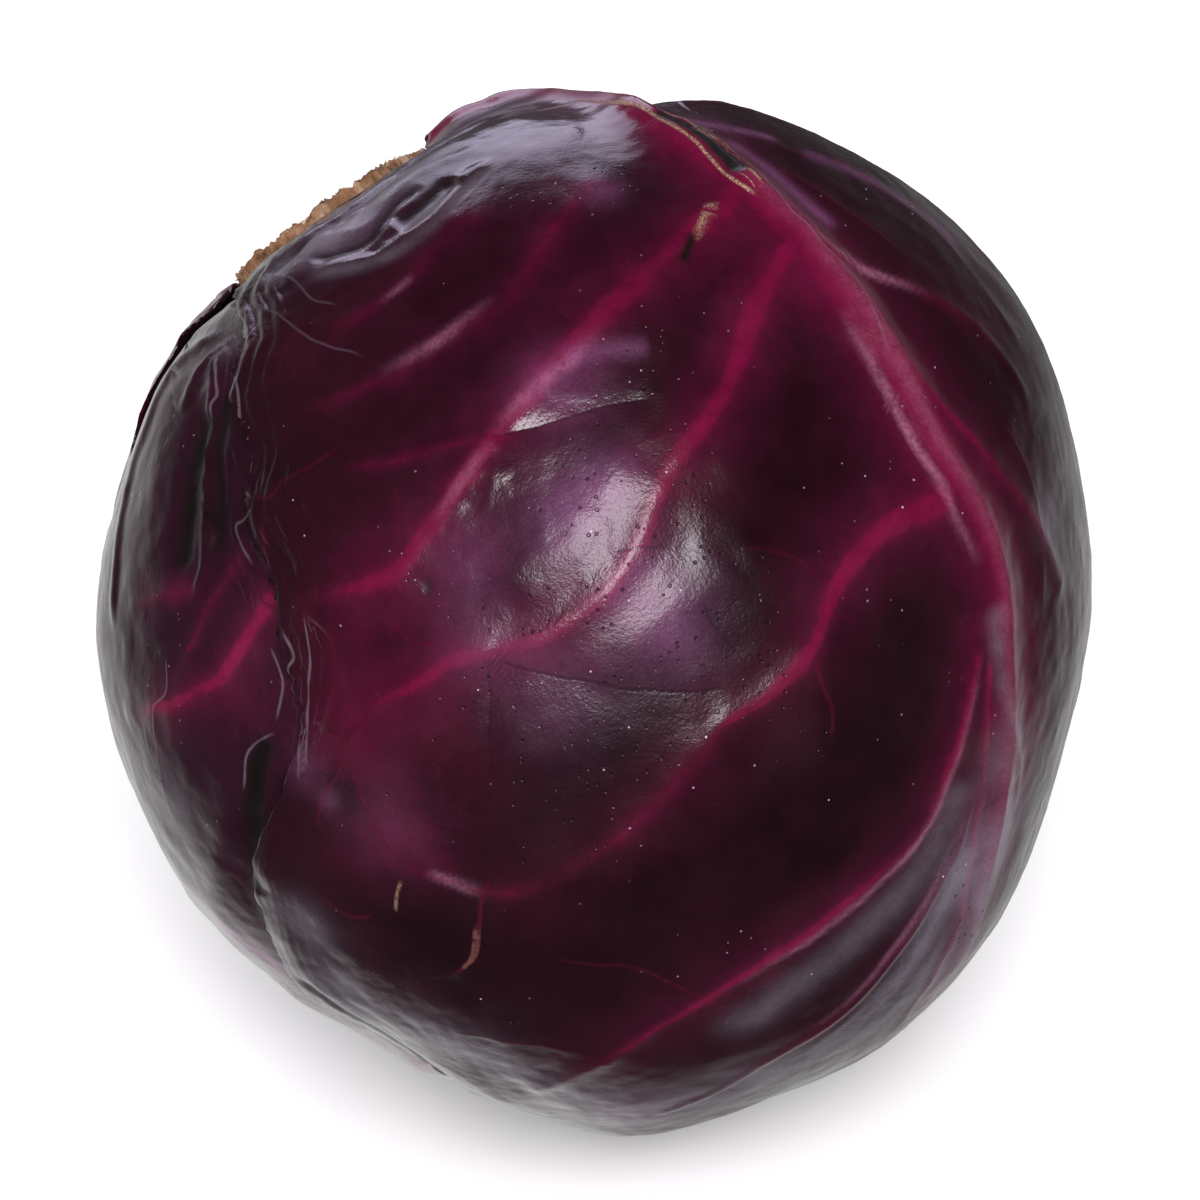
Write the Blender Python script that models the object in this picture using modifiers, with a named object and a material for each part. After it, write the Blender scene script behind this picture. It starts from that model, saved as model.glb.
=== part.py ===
"""Red cabbage head, lying on a small flat spot with its cut stem pointing up and to the left.

Units are metres and degrees, +Z is up and the origin is the middle of the resting spot.

The head is worked out by direction from its centre. A direction has a colatitude, 0 at the cut
stem and 180 at the crown, and a longitude about the stem axis, 0 on the side that faces -Y and
up, 90 on the upper right side. The outside of the head is one smooth surface, and each leaf
lies below the leaves that cover it by one layer for each, so no two leaves meet.
"""

import math

import bmesh
import bpy
import numpy as np
from mathutils import Matrix

# Size and pose of the head: its radius over the ribs, and the share of it under them
HEAD_RADIUS = 0.075
BLADE_SHARE = 0.994
LEAN_BACK = 35.0
LEAN_LEFT = 35.0
RESTING_RADIUS = 0.019
BASE_FLATNESS = 0.930
BASE_SOFTNESS = 0.03
# Lobes of the outline seen from the front: waves round the head, height over radius, direction
LOBES = ((2, 0.020, 84.0), (3, 0.021, 53.0), (4, 0.006, 23.0), (6, 0.005, 26.0), (8, 0.005, 0.0))
# The valley beside the base of the front leaf's midrib: direction on the outline, depth, width
# across the picture and length away from the viewer
VALLEY_TOWARDS = 90.0
VALLEY_DEPTH = 0.050
VALLEY_WIDTH = 7.5
VALLEY_LENGTH = 22.0

# Leaves
LEAF_THICKNESS = 0.0011
LAYER_STEP = 0.0020
COVER_FADE = 16.0
RELIEF_FADE = 6.0
MARGIN_CLEARANCE = 1.2
SWELL = 0.0004

# Cut stem
STEM_RADIUS = 0.0170
STEM_TOP = 0.957
STEM_CLEARANCE = 0.0018
SEAT_GAP = 0.0004
STEM_SIDES = 36
STEM_RAGGEDNESS = 0.0005
# Rings of the cut face from the rim inwards: width and rise
STEM_RINGS = ((0.0018, 0.0010), (0.0050, 0.0004))

# The photograph's frame, in its pixels: the head's centre and radius, and the camera's distance
PHOTO_CENTRE = (603.0, 606.0)
PHOTO_RADIUS = 506.6
CAMERA_DISTANCE = 0.75

# Each leaf, outermost first. Its chart is centred at a colatitude and longitude, and reach gives
# the margin's distance from there: turn from the stemward side (positive to the right), degrees.
LEAVES = (
    {
        "name": "leaf_front", "centre": (90.0, 46.0), "cells": 32, "colour": (0.075, 0.010, 0.045),
        "reach": ((-172, 98), (-150, 111), (-128, 111), (-105, 113), (-97, 109), (-91, 100),
                  (-87, 89), (-82, 82), (-74, 79), (-58, 78), (-44, 79), (-27, 85), (0, 92),
                  (40, 84), (70, 80), (95, 78), (120, 76), (150, 80)),
        "wave": (0.0011, 23),
    },
    {
        "name": "leaf_back", "centre": (90.0, 195.0), "cells": 28, "colour": (0.070, 0.012, 0.050),
        "reach": ((-180, 78), (-150, 76), (-115, 70), (-90, 68), (-60, 74), (-35, 84), (0, 92),
                  (30, 84), (50, 72), (70, 63), (90, 60), (110, 62), (135, 72), (155, 79)),
        "wave": (0.0010, 19),
    },
    {
        "name": "leaf_left", "centre": (90.0, -28.0), "cells": 26, "colour": (0.080, 0.012, 0.045),
        "reach": ((-180, 70), (-150, 74), (-115, 84), (-90, 88), (-60, 86), (-35, 86), (0, 92),
                  (35, 84), (60, 78), (90, 72), (120, 70), (150, 70)),
        "wave": (0.0010, 17),
    },
    {
        "name": "leaf_right", "centre": (90.0, 112.0), "cells": 24, "colour": (0.085, 0.014, 0.055),
        "reach": ((-180, 82), (-150, 78), (-90, 64), (-60, 70), (-35, 82), (0, 92), (35, 82),
                  (60, 72), (90, 62), (150, 74)),
        "wave": (0.0008, 21),
    },
    {
        "name": "leaf_lower", "centre": (90.0, -118.0), "cells": 18, "colour": (0.085, 0.016, 0.060),
        "reach": ((-180, 86), (-150, 80), (-90, 64), (-60, 68), (-35, 82), (0, 92), (35, 82),
                  (60, 70), (90, 66), (150, 82)),
        "wave": (0.0008, 18),
    },
)
CORE_COLOUR = (0.110, 0.020, 0.075)
STEM_COLOUR = (0.480, 0.270, 0.120)

# The front leaf's midrib bends towards the right side near the stem: colatitude, longitude
FRONT_MIDRIB = ((14, 94), (25, 88), (32, 76), (38, 66), (44, 57), (55, 50), (71, 46), (81, 44),
                (95, 42), (111, 44), (125, 41), (143, 37), (162, 29))
MIDRIB_BEND_WIDTH = 48.0

# The front leaf's side veins, as points picked by eye on the photograph, in its pixels
FRONT_VEINS = (
    ((700, 230), (640, 280), (570, 350), (500, 435), (440, 520), (395, 575), (300, 605)),
    ((750, 300), (730, 370), (700, 430), (660, 480), (630, 550), (590, 600), (540, 635),
     (470, 655), (420, 680), (370, 715), (330, 760)),
    ((940, 500), (900, 520), (870, 545), (830, 590), (810, 640), (770, 690), (710, 740),
     (640, 810), (560, 870), (510, 890), (430, 870), (370, 800)),
    ((985, 640), (975, 740), (950, 830), (900, 880), (860, 895), (790, 940), (740, 970),
     (690, 1000), (640, 1035), (590, 1060)),
    ((780, 270), (830, 330), (890, 400), (960, 470), (1040, 520), (1075, 580)),
    ((990, 700), (965, 840), (930, 900), (880, 960), (820, 1010), (720, 1077)),
    ((640, 130), (760, 130), (900, 190), (980, 270)),
    ((560, 200), (470, 250), (400, 300), (330, 322)),
)
FRONT_VEIN_HEIGHT = 0.0016
FRONT_VEIN_WIDTH = 0.0034
MIDRIB_HEIGHT = 0.0032
MIDRIB_WIDTH = 0.0055
SIDE_RIB_HEIGHT = 0.0016
SIDE_RIB_WIDTH = 0.0036
SIDE_RIB_SPACING = 21.0
SIDE_RIB_SLOPE = 0.95

# Inner leaves that stand out of the tight heart: centre colatitude, longitude, reach in degrees
HEART_LEAVES = ((118.0, 20.0, 62.0), (122.0, 158.0, 60.0), (126.0, 275.0, 56.0))
HEART_STEP = 0.0012
HEART_SUBDIVISIONS = 4


def smooth_step(low, high, value):
    """0 below low, 1 above high and an S between them."""
    t = np.clip((value - low) / (high - low), 0.0, 1.0)
    return t * t * (3.0 - 2.0 * t)


def soft_minimum(a, b, softness):
    """The smaller of two values, rounded where they cross."""
    return 0.5 * (a + b - np.sqrt((a - b) ** 2 + softness * softness))


def smooth_curve(value, knots, period=None):
    """A smooth curve through (position, height) knots, closed on itself if it has a period."""
    x = np.array([k[0] for k in knots], dtype=float)
    y = np.array([k[1] for k in knots], dtype=float)
    if period:
        x = np.concatenate((x[-2:] - period, x, x[:2] + period))
        y = np.concatenate((y[-2:], y, y[:2]))
        value = (value - x[2]) % period + x[2]
    slope = np.gradient(y, x)
    value = np.clip(value, x[0], x[-1])
    i = np.clip(np.searchsorted(x, value, side="right") - 1, 0, len(x) - 2)
    width = x[i + 1] - x[i]
    t = (value - x[i]) / width
    rise = (1.0 + 2.0 * t) * (1.0 - t) ** 2 * y[i] + t * t * (3.0 - 2.0 * t) * y[i + 1]
    lean = t * (1.0 - t) ** 2 * slope[i] - t * t * (1.0 - t) * slope[i + 1]
    return rise + width * lean


def stem_frame():
    """The head's side at longitude 0, its side at longitude 90, and its stem, seen from the front."""
    lean = math.radians(LEAN_LEFT)
    near = np.array((0.0, -1.0, 0.0))
    right = np.array((math.cos(lean), 0.0, math.sin(lean)))
    stem = np.array((-math.sin(lean), 0.0, math.cos(lean)))
    return near, right, stem


def direction(colatitude, longitude):
    """Unit vectors in the front frame (X right, Y away, Z up the picture)."""
    near, right, stem = stem_frame()
    c = np.radians(colatitude)[..., None]
    g = np.radians(longitude)[..., None]
    return np.sin(c) * np.cos(g) * near + np.sin(c) * np.sin(g) * right + np.cos(c) * stem


def head_angles(u):
    """Colatitude and longitude of unit vectors."""
    near, right, stem = stem_frame()
    colatitude = np.degrees(np.arccos(np.clip(u @ stem, -1.0, 1.0)))
    longitude = np.degrees(np.arctan2(u @ right, u @ near))
    return colatitude, longitude


def downward():
    """Straight down, in the front frame."""
    back = math.radians(LEAN_BACK)
    return np.array((0.0, math.sin(back), -math.cos(back)))


def resting_height():
    """Height of the head's centre above the surface that it lies on."""
    bottom = lobed_radius(downward()[None])[0]
    return bottom - RESTING_RADIUS ** 2 / (2.0 * bottom)


def lobed_radius(u):
    """The head's radius with its lobes and its flattened base, before it is set down."""
    turn = np.arctan2(u[..., 2], u[..., 0])
    side = np.hypot(u[..., 0], u[..., 2])
    radius = np.full(side.shape, BLADE_SHARE)
    for waves, height, towards in LOBES:
        radius = radius + height * side ** waves * np.cos(waves * (turn - math.radians(towards)))
    across = (np.degrees(turn) - VALLEY_TOWARDS + 180.0) % 360.0 - 180.0
    away = np.degrees(np.arctan2(u[..., 1], side))
    valley = ridge(across, VALLEY_WIDTH) * ridge(away, VALLEY_LENGTH)
    radius = radius - VALLEY_DEPTH * valley
    colatitude, _ = head_angles(u)
    flat = BASE_FLATNESS / np.maximum(np.cos(np.radians(colatitude)), 0.2)
    return HEAD_RADIUS * soft_minimum(radius, flat, BASE_SOFTNESS)


def outside_radius(u):
    """The smooth outside of the head, with the flat spot that it rests on."""
    drop = np.maximum(u @ downward(), 0.2)
    return np.minimum(lobed_radius(u), resting_height() / drop)


def midrib_shift(colatitude):
    """How far round the head the front leaf's midrib runs from its chart's middle line."""
    return smooth_curve(colatitude, FRONT_MIDRIB) - LEAVES[0]["centre"][1]


def bend(leaf, colatitude, longitude):
    """Carries the front leaf's chart round with its bent midrib."""
    if leaf is not LEAVES[0]:
        return longitude
    offset = (longitude - leaf["centre"][1] + 180.0) % 360.0 - 180.0
    return longitude + midrib_shift(colatitude) * np.exp(-((offset / MIDRIB_BEND_WIDTH) ** 2))


def unbend(leaf, colatitude, longitude):
    """Undoes bend by repeated correction."""
    flat = longitude
    for _ in range(8):
        flat = flat - 0.6 * (bend(leaf, colatitude, flat) - longitude)
    return flat


def stem_reach(leaf, turn):
    """Distance from the chart's centre to the hole round the stem, or far where it misses."""
    layer = LEAVES.index(leaf)
    height = BASE_FLATNESS * HEAD_RADIUS - layer * LAYER_STEP - LEAF_THICKNESS
    hole = math.atan2(STEM_RADIUS + STEM_CLEARANCE, height)
    across = math.radians(leaf["centre"][0])
    a = math.cos(across)
    b = math.sin(across) * np.cos(np.radians(turn))
    size = np.hypot(a, b)
    hits = (size > math.cos(hole)) & (b > 0.0)
    ratio = np.clip(math.cos(hole) / np.maximum(size, 1e-9), -1.0, 1.0)
    reach = np.degrees(np.arctan2(b, a) - np.arccos(ratio))
    return np.where(hits, reach, 999.0)


def margin_reach(leaf, turn):
    """Distance of the leaf's margin from its chart's centre, in degrees."""
    height, waves = leaf["wave"]
    body = smooth_curve(turn, leaf["reach"], 360.0)
    body = body + np.degrees(height / HEAD_RADIUS) * np.sin(np.radians(turn) * waves)
    return np.minimum(body, stem_reach(leaf, turn))


def chart_to_direction(leaf, distance, turn):
    """Unit vectors for a distance and turn about the leaf's centre."""
    middle = math.radians(leaf["centre"][0])
    d = np.radians(distance)
    t = np.radians(turn)
    along = np.cos(d) * math.cos(middle) + np.sin(d) * np.cos(t) * math.sin(middle)
    out = np.cos(d) * math.sin(middle) - np.sin(d) * np.cos(t) * math.cos(middle)
    side = np.sin(d) * np.sin(t)
    colatitude = np.degrees(np.arccos(np.clip(along, -1.0, 1.0)))
    longitude = leaf["centre"][1] + np.degrees(np.arctan2(side, out))
    return direction(colatitude, bend(leaf, colatitude, longitude))


def direction_to_chart(leaf, u):
    """Distance and turn about the leaf's centre of unit vectors."""
    colatitude, longitude = head_angles(u)
    longitude = unbend(leaf, colatitude, longitude) - leaf["centre"][1]
    middle = math.radians(leaf["centre"][0])
    c = np.radians(colatitude)
    g = np.radians(longitude)
    near = np.cos(c) * math.cos(middle) + np.sin(c) * np.cos(g) * math.sin(middle)
    stemward = np.cos(c) * math.sin(middle) - np.sin(c) * np.cos(g) * math.cos(middle)
    side = np.sin(c) * np.sin(g)
    distance = np.degrees(np.arccos(np.clip(near, -1.0, 1.0)))
    return distance, np.degrees(np.arctan2(side, stemward))


def beyond_margin(leaf, u):
    """Degrees outside the leaf's margin, negative inside it."""
    distance, turn = direction_to_chart(leaf, u)
    return distance - margin_reach(leaf, turn)


def cover(leaf, u, fade):
    """1 under the leaf and just past its margin, fading to 0 further out."""
    outside = beyond_margin(leaf, u)
    return 1.0 - smooth_step(MARGIN_CLEARANCE, MARGIN_CLEARANCE + fade, outside)


def layer_depth(above, u):
    """How far the leaves above press the surface below the outside of the head."""
    return LAYER_STEP * sum((cover(leaf, u, COVER_FADE) for leaf in above), np.zeros(len(u)))


def exposure(above, u):
    """1 where no leaf lies above, 0 under one."""
    shown = np.ones(len(u))
    for leaf in above:
        shown = shown * (1.0 - cover(leaf, u, RELIEF_FADE))
    return shown


def photo_direction(pixels):
    """Directions of the head's points that the camera sees at the photograph's pixels."""
    pixels = np.array(pixels, dtype=float)
    seen_radius = HEAD_RADIUS / math.sqrt(1.0 - (HEAD_RADIUS / CAMERA_DISTANCE) ** 2)
    scale = seen_radius / PHOTO_RADIUS
    x = (pixels[:, 0] - PHOTO_CENTRE[0]) * scale
    z = (PHOTO_CENTRE[1] - pixels[:, 1]) * scale
    ray = np.stack((x, np.full(len(x), CAMERA_DISTANCE), z), axis=1)
    ray = ray / np.linalg.norm(ray, axis=1)[:, None]
    half = CAMERA_DISTANCE * ray[:, 1]
    inside = np.maximum(half ** 2 - CAMERA_DISTANCE ** 2 + HEAD_RADIUS ** 2, 0.0)
    point = ray * (half - np.sqrt(inside))[:, None]
    point[:, 1] -= CAMERA_DISTANCE
    return point / np.linalg.norm(point, axis=1)[:, None]


def path_distance(u, path):
    """Shortest distance on the head from unit vectors to a path, and the place along it, 0 to 1."""
    best = np.full(len(u), 9.0)
    place = np.zeros(len(u))
    for i in range(len(path) - 1):
        step = path[i + 1] - path[i]
        t = np.clip((u - path[i]) @ step / (step @ step), 0.0, 1.0)
        gap = np.linalg.norm(u - path[i] - t[:, None] * step, axis=1)
        closer = gap < best
        best = np.where(closer, gap, best)
        place = np.where(closer, (i + t) / (len(path) - 1), place)
    return best * HEAD_RADIUS, place


def ridge(distance, width):
    """The rounded cross-section of a rib, 1 on its crest."""
    return np.exp(-((distance / width) ** 2))


def rib_taper(distance, turn):
    """Thickness of a midrib along its leaf: full at the stem, a third at the tip."""
    along = distance * np.cos(np.radians(turn))
    return 0.30 + 0.70 * smooth_step(-70.0, 75.0, along)


def midrib_relief(distance, turn):
    """The raised midrib along the chart's middle line."""
    taper = rib_taper(distance, turn)
    across = np.radians(distance * np.abs(np.sin(np.radians(turn)))) * HEAD_RADIUS
    end = 1.0 - smooth_step(62.0, 76.0, -distance * np.cos(np.radians(turn)))
    return MIDRIB_HEIGHT * taper * end * ridge(across, MIDRIB_WIDTH * (0.5 + 0.5 * taper))


def side_rib_relief(distance, turn):
    """Side ribs that leave the midrib in turn on each side and lean towards the tip."""
    along = distance * np.cos(np.radians(turn))
    across = distance * np.sin(np.radians(turn))
    lean = along + SIDE_RIB_SLOPE * np.abs(across) - 0.0035 * across ** 2
    phase = lean / SIDE_RIB_SPACING + np.where(across > 0.0, 0.5, 0.0)
    away = np.abs(phase - np.round(phase)) * SIDE_RIB_SPACING
    reach = np.radians(away) * HEAD_RADIUS / math.hypot(1.0, SIDE_RIB_SLOPE)
    fade = smooth_step(2.0, 8.0, np.abs(across)) * (1.0 - smooth_step(35.0, 70.0, np.abs(across)))
    return SIDE_RIB_HEIGHT * fade * ridge(reach, SIDE_RIB_WIDTH)


def front_vein_relief(u):
    """The front leaf's side veins, each thinning towards its end."""
    height = np.zeros(len(u))
    for pixels in FRONT_VEINS:
        away, place = path_distance(u, photo_direction(pixels))
        height = np.maximum(height, (1.0 - 0.6 * place) * ridge(away, FRONT_VEIN_WIDTH))
    return FRONT_VEIN_HEIGHT * height


def swell(u):
    """Shallow swells of the blade, always outwards."""
    wave = np.sin(9.0 * u[:, 0] + 4.0 * u[:, 2]) + np.sin(11.0 * u[:, 2] - 5.0 * u[:, 1] + 1.3)
    return SWELL * (1.0 + 0.5 * wave)


def margin_wave(leaf, distance, turn):
    """Waves that lift the margin of a leaf."""
    height, waves = leaf["wave"]
    near_edge = smooth_step(-11.0, 0.0, distance - margin_reach(leaf, turn))
    near_edge = near_edge * (1.0 - smooth_step(70.0, 80.0, distance * np.cos(np.radians(turn))))
    return height * near_edge * (0.5 + 0.5 * np.sin(np.radians(turn) * waves * 0.7 + 0.8))


def leaf_relief(leaf, u, distance, turn):
    """Height of the leaf's own form above its layer, flat on the spot that it rests on."""
    relief = midrib_relief(distance, turn) + swell(u) + margin_wave(leaf, distance, turn)
    if leaf is LEAVES[0]:
        relief = relief + front_vein_relief(u)
    else:
        relief = relief + side_rib_relief(distance, turn)
    spot = math.degrees(RESTING_RADIUS / HEAD_RADIUS)
    from_spot = np.degrees(np.arccos(np.clip(u @ downward(), -1.0, 1.0)))
    return relief * smooth_step(spot + 1.0, spot + 12.0, from_spot)


def leaf_radius(leaf, u, distance, turn):
    """Distance of the leaf's outer face from the head's centre."""
    above = LEAVES[:LEAVES.index(leaf)]
    relief = leaf_relief(leaf, u, distance, turn) * exposure(above, u)
    return outside_radius(u) - layer_depth(above, u) + relief


def heart_radius(u):
    """The tight heart under every leaf, with its inner leaves standing out at the crown."""
    radius = outside_radius(u) - layer_depth(LEAVES, u)
    _, _, stem = stem_frame()
    raised = np.zeros(len(u))
    for colatitude, longitude, reach in HEART_LEAVES:
        centre = direction(np.array([colatitude]), np.array([longitude]))[0]
        away = np.degrees(np.arccos(np.clip(u @ centre, -1.0, 1.0)))
        raised = raised + HEART_STEP / 3.0 * (1.0 - smooth_step(reach - 5.0, reach, away))
    radius = radius - HEART_STEP + raised
    seat = stem_seat() / np.maximum(u @ stem, 0.2)
    return np.minimum(radius, seat)


def stem_seat():
    """Height, along the stem, of the flat in the heart that the cut stem grows from."""
    return BASE_FLATNESS * HEAD_RADIUS - len(LEAVES) * LAYER_STEP - 2.0 * HEART_STEP


def front_to_world():
    """Turns the front frame into the resting pose, with the resting spot at the origin."""
    lean = Matrix.Rotation(-math.radians(LEAN_BACK), 4, "X")
    return Matrix.Translation((0.0, 0.0, resting_height())) @ lean


def square_to_chart(leaf, x, y):
    """Carries a square of -1 to 1 onto the leaf: distance and turn about its centre."""
    disc_x = x * np.sqrt(1.0 - 0.5 * y * y)
    disc_y = y * np.sqrt(1.0 - 0.5 * x * x)
    turn = np.degrees(np.arctan2(disc_x, disc_y))
    return np.hypot(disc_x, disc_y) * margin_reach(leaf, turn), turn


def move_vertices(mesh, points):
    """Puts a bmesh's vertices at the given points of the front frame, in the resting pose."""
    pose = np.array(front_to_world())
    placed = points @ pose[:3, :3].T + pose[:3, 3]
    for vertex, point in zip(mesh.verts, placed):
        vertex.co = point


def add_object(name, mesh, collection, colour, roughness):
    """Makes a named object with its own material from a bmesh."""
    data = bpy.data.meshes.new(name)
    mesh.to_mesh(data)
    mesh.free()
    data.shade_smooth()
    material = bpy.data.materials.new(name)
    material.use_nodes = True
    shader = material.node_tree.nodes["Principled BSDF"]
    shader.inputs["Base Color"].default_value = (*colour, 1.0)
    shader.inputs["Roughness"].default_value = roughness
    shader.inputs["Metallic"].default_value = 0.0
    data.materials.append(material)
    thing = bpy.data.objects.new(name, data)
    collection.objects.link(thing)
    return thing


def make_leaf(leaf, collection):
    """One wrapper leaf: a grid laid over the head, then given the blade's thickness inwards."""
    mesh = bmesh.new()
    bmesh.ops.create_grid(mesh, x_segments=leaf["cells"], y_segments=leaf["cells"], size=1.0)
    flat = np.array([vertex.co for vertex in mesh.verts], dtype=float)
    distance, turn = square_to_chart(leaf, flat[:, 0], flat[:, 1])
    u = chart_to_direction(leaf, distance, turn)
    radius = leaf_radius(leaf, u, distance, turn)
    move_vertices(mesh, u * radius[:, None])
    bmesh.ops.triangulate(mesh, faces=mesh.faces[:])
    face_outwards(mesh)
    thing = add_object(leaf["name"], mesh, collection, leaf["colour"], 0.35)
    wall = thing.modifiers.new("blade", "SOLIDIFY")
    wall.thickness = LEAF_THICKNESS
    wall.offset = -1.0
    return thing


def face_outwards(mesh):
    """Flips an open shell's faces where they look towards the head's centre."""
    centre = front_to_world().translation
    mesh.normal_update()
    inwards = [f for f in mesh.faces if f.normal.dot(f.calc_center_median() - centre) < 0.0]
    bmesh.ops.reverse_faces(mesh, faces=inwards)


def make_heart(collection):
    """The tight heart with the inner leaves that stand out of it."""
    mesh = bmesh.new()
    bmesh.ops.create_icosphere(mesh, subdivisions=HEART_SUBDIVISIONS, radius=1.0)
    u = np.array([vertex.co.normalized() for vertex in mesh.verts], dtype=float)
    move_vertices(mesh, u * heart_radius(u)[:, None])
    return add_object("heart_leaves", mesh, collection, CORE_COLOUR, 0.4)


def make_stem(collection):
    """The cut stem: a short round stump with a worn rim and a slightly domed cut face."""
    low = stem_seat() + SEAT_GAP
    high = STEM_TOP * HEAD_RADIUS
    mesh = bmesh.new()
    bmesh.ops.create_cone(mesh, cap_ends=True, segments=STEM_SIDES, radius1=STEM_RADIUS,
                          radius2=STEM_RADIUS, depth=high - low)
    bmesh.ops.translate(mesh, verts=mesh.verts[:], vec=(0.0, 0.0, 0.5 * (high + low)))
    top = [f for f in mesh.faces if f.normal.z > 0.9]
    for width, rise in STEM_RINGS:
        for vertex in {v for f in top for v in f.verts}:
            turn = math.atan2(vertex.co.y, vertex.co.x)
            vertex.co.z += STEM_RAGGEDNESS * math.sin(5.0 * turn) * math.sin(8.0 * turn + 1.0)
        bmesh.ops.inset_region(mesh, faces=top, thickness=width, depth=0.0, use_even_offset=True)
        bmesh.ops.translate(mesh, verts=list({v for f in top for v in f.verts}), vec=(0, 0, rise))
    bmesh.ops.triangulate(mesh, faces=mesh.faces[:])
    local = np.array([vertex.co for vertex in mesh.verts], dtype=float)
    near, right, stem = stem_frame()
    points = local[:, :1] * near + local[:, 1:2] * right + local[:, 2:] * stem
    move_vertices(mesh, points)
    return add_object("cut_stem", mesh, collection, STEM_COLOUR, 0.85)


def main():
    for thing in list(bpy.data.objects):
        bpy.data.objects.remove(thing)
    collection = bpy.data.collections.new("red_cabbage_head")
    bpy.context.scene.collection.children.link(collection)
    for leaf in LEAVES:
        make_leaf(leaf, collection)
    make_heart(collection)
    make_stem(collection)


main()
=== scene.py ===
"""Red cabbage head: fine leaves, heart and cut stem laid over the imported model, with their finishes."""
import math
from functools import partial

import bmesh
import bpy
import numpy as np
from mathutils import Matrix, Vector, noise


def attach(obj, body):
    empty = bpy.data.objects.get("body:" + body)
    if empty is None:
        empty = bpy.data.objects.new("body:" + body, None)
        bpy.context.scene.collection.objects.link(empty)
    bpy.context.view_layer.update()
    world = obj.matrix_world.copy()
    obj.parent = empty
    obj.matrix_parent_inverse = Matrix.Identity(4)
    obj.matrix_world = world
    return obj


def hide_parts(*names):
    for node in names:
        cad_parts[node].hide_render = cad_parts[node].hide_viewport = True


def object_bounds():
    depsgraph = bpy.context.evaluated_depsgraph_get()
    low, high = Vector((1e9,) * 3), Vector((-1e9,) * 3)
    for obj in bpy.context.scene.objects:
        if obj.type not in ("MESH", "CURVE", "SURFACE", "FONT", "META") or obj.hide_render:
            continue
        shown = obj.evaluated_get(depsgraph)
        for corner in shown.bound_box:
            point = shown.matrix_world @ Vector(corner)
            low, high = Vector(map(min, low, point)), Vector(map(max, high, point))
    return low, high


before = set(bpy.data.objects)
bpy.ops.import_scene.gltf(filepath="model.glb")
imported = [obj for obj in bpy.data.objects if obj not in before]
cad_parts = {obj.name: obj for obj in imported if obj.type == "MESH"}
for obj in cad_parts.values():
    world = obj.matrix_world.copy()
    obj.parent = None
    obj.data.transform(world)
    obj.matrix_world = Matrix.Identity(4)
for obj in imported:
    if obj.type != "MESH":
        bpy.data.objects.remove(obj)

CAD_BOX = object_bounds()

# The head, as the solids have it (metres and degrees)
HEAD_RADIUS = 0.075
BLADE_SHARE = 0.994
LEAN_BACK = 35.0
LEAN_LEFT = 35.0
RESTING_RADIUS = 0.019
BASE_FLATNESS = 0.930
BASE_SOFTNESS = 0.03
LOBES = ((2, 0.020, 84.0), (3, 0.021, 53.0), (4, 0.006, 23.0), (6, 0.005, 26.0), (8, 0.005, 0.0))
VALLEY_TOWARDS = 90.0
VALLEY_DEPTH = 0.050
VALLEY_WIDTH = 7.5
VALLEY_LENGTH = 22.0

LEAF_THICKNESS = 0.0011
LAYER_STEP = 0.0020
COVER_FADE = 16.0
RELIEF_FADE = 6.0
MARGIN_CLEARANCE = 1.2
SWELL = 0.0004

STEM_RADIUS = 0.0170
STEM_TOP = 0.957
STEM_GAP = 0.0007
SEAT_GAP = 0.0004
STEM_WALL_STEPS = 10

# Start of the random draws for the torn fibres
FIBRE_SEED = 7

# The photograph's frame in its own pixels, and the camera that sees the head as it does
PHOTO_SIZE = 1200.0
PHOTO_CENTRE = (603.0, 606.0)
PHOTO_RADIUS = 506.6
CAMERA_DISTANCE = 0.75
SENSOR = 36.0

# Brightness of the white surroundings: as soft light, and as the head reflects them on the
# viewer's side and behind the head
ROOM_LIGHT = 0.70
ROOM_FRONT = 0.02
ROOM_BACK = 0.55
ROOM_SIDES = {
    "up": (0.0, 0.0, 1.0),
    "up_right": (0.64, 0.0, 0.77),
    "left": (-1.0, 0.0, 0.0),
    "low_left": (-0.50, 0.0, -0.87),
}

# How fine the leaves are: four squares of the outer face to one of the inner, and smaller squares
# on the left, where the photograph looks straight at the leaf. Then how far a fine line's signed
# distance counts, how far any line is looked for, and the widths of fine lines and their kinks.
OUTER_TO_INNER = 4
STEM_SQUARES, QUICK_STEM_SQUARES = 130, 60
FIBRES, QUICK_FIBRES = 240, 60
LEFT_FINENESS = 0.12
CREASE_REACH = 0.004
FAR_FROM_LINE = 0.016
KINK_WIDTH = 0.0026
FINE_LINE_WIDTH = 0.0020
WOBBLE = 0.010

# Relief of the blades in metres: their unevenness, the margin's dip and thinning, pleats and folds
UNEVENNESS = 0.00016
FINE_UNEVENNESS = 0.00005
MARGIN_DIP = 0.0004
MARGIN_THINNING = 0.00055
PLEAT_HEIGHT = 0.00045
STEM_FOLD_HEIGHT = 0.0005

# Degrees by which a leaf's inner face stops short of its margin
INNER_FACE_SHORTFALL = 0.9

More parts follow.
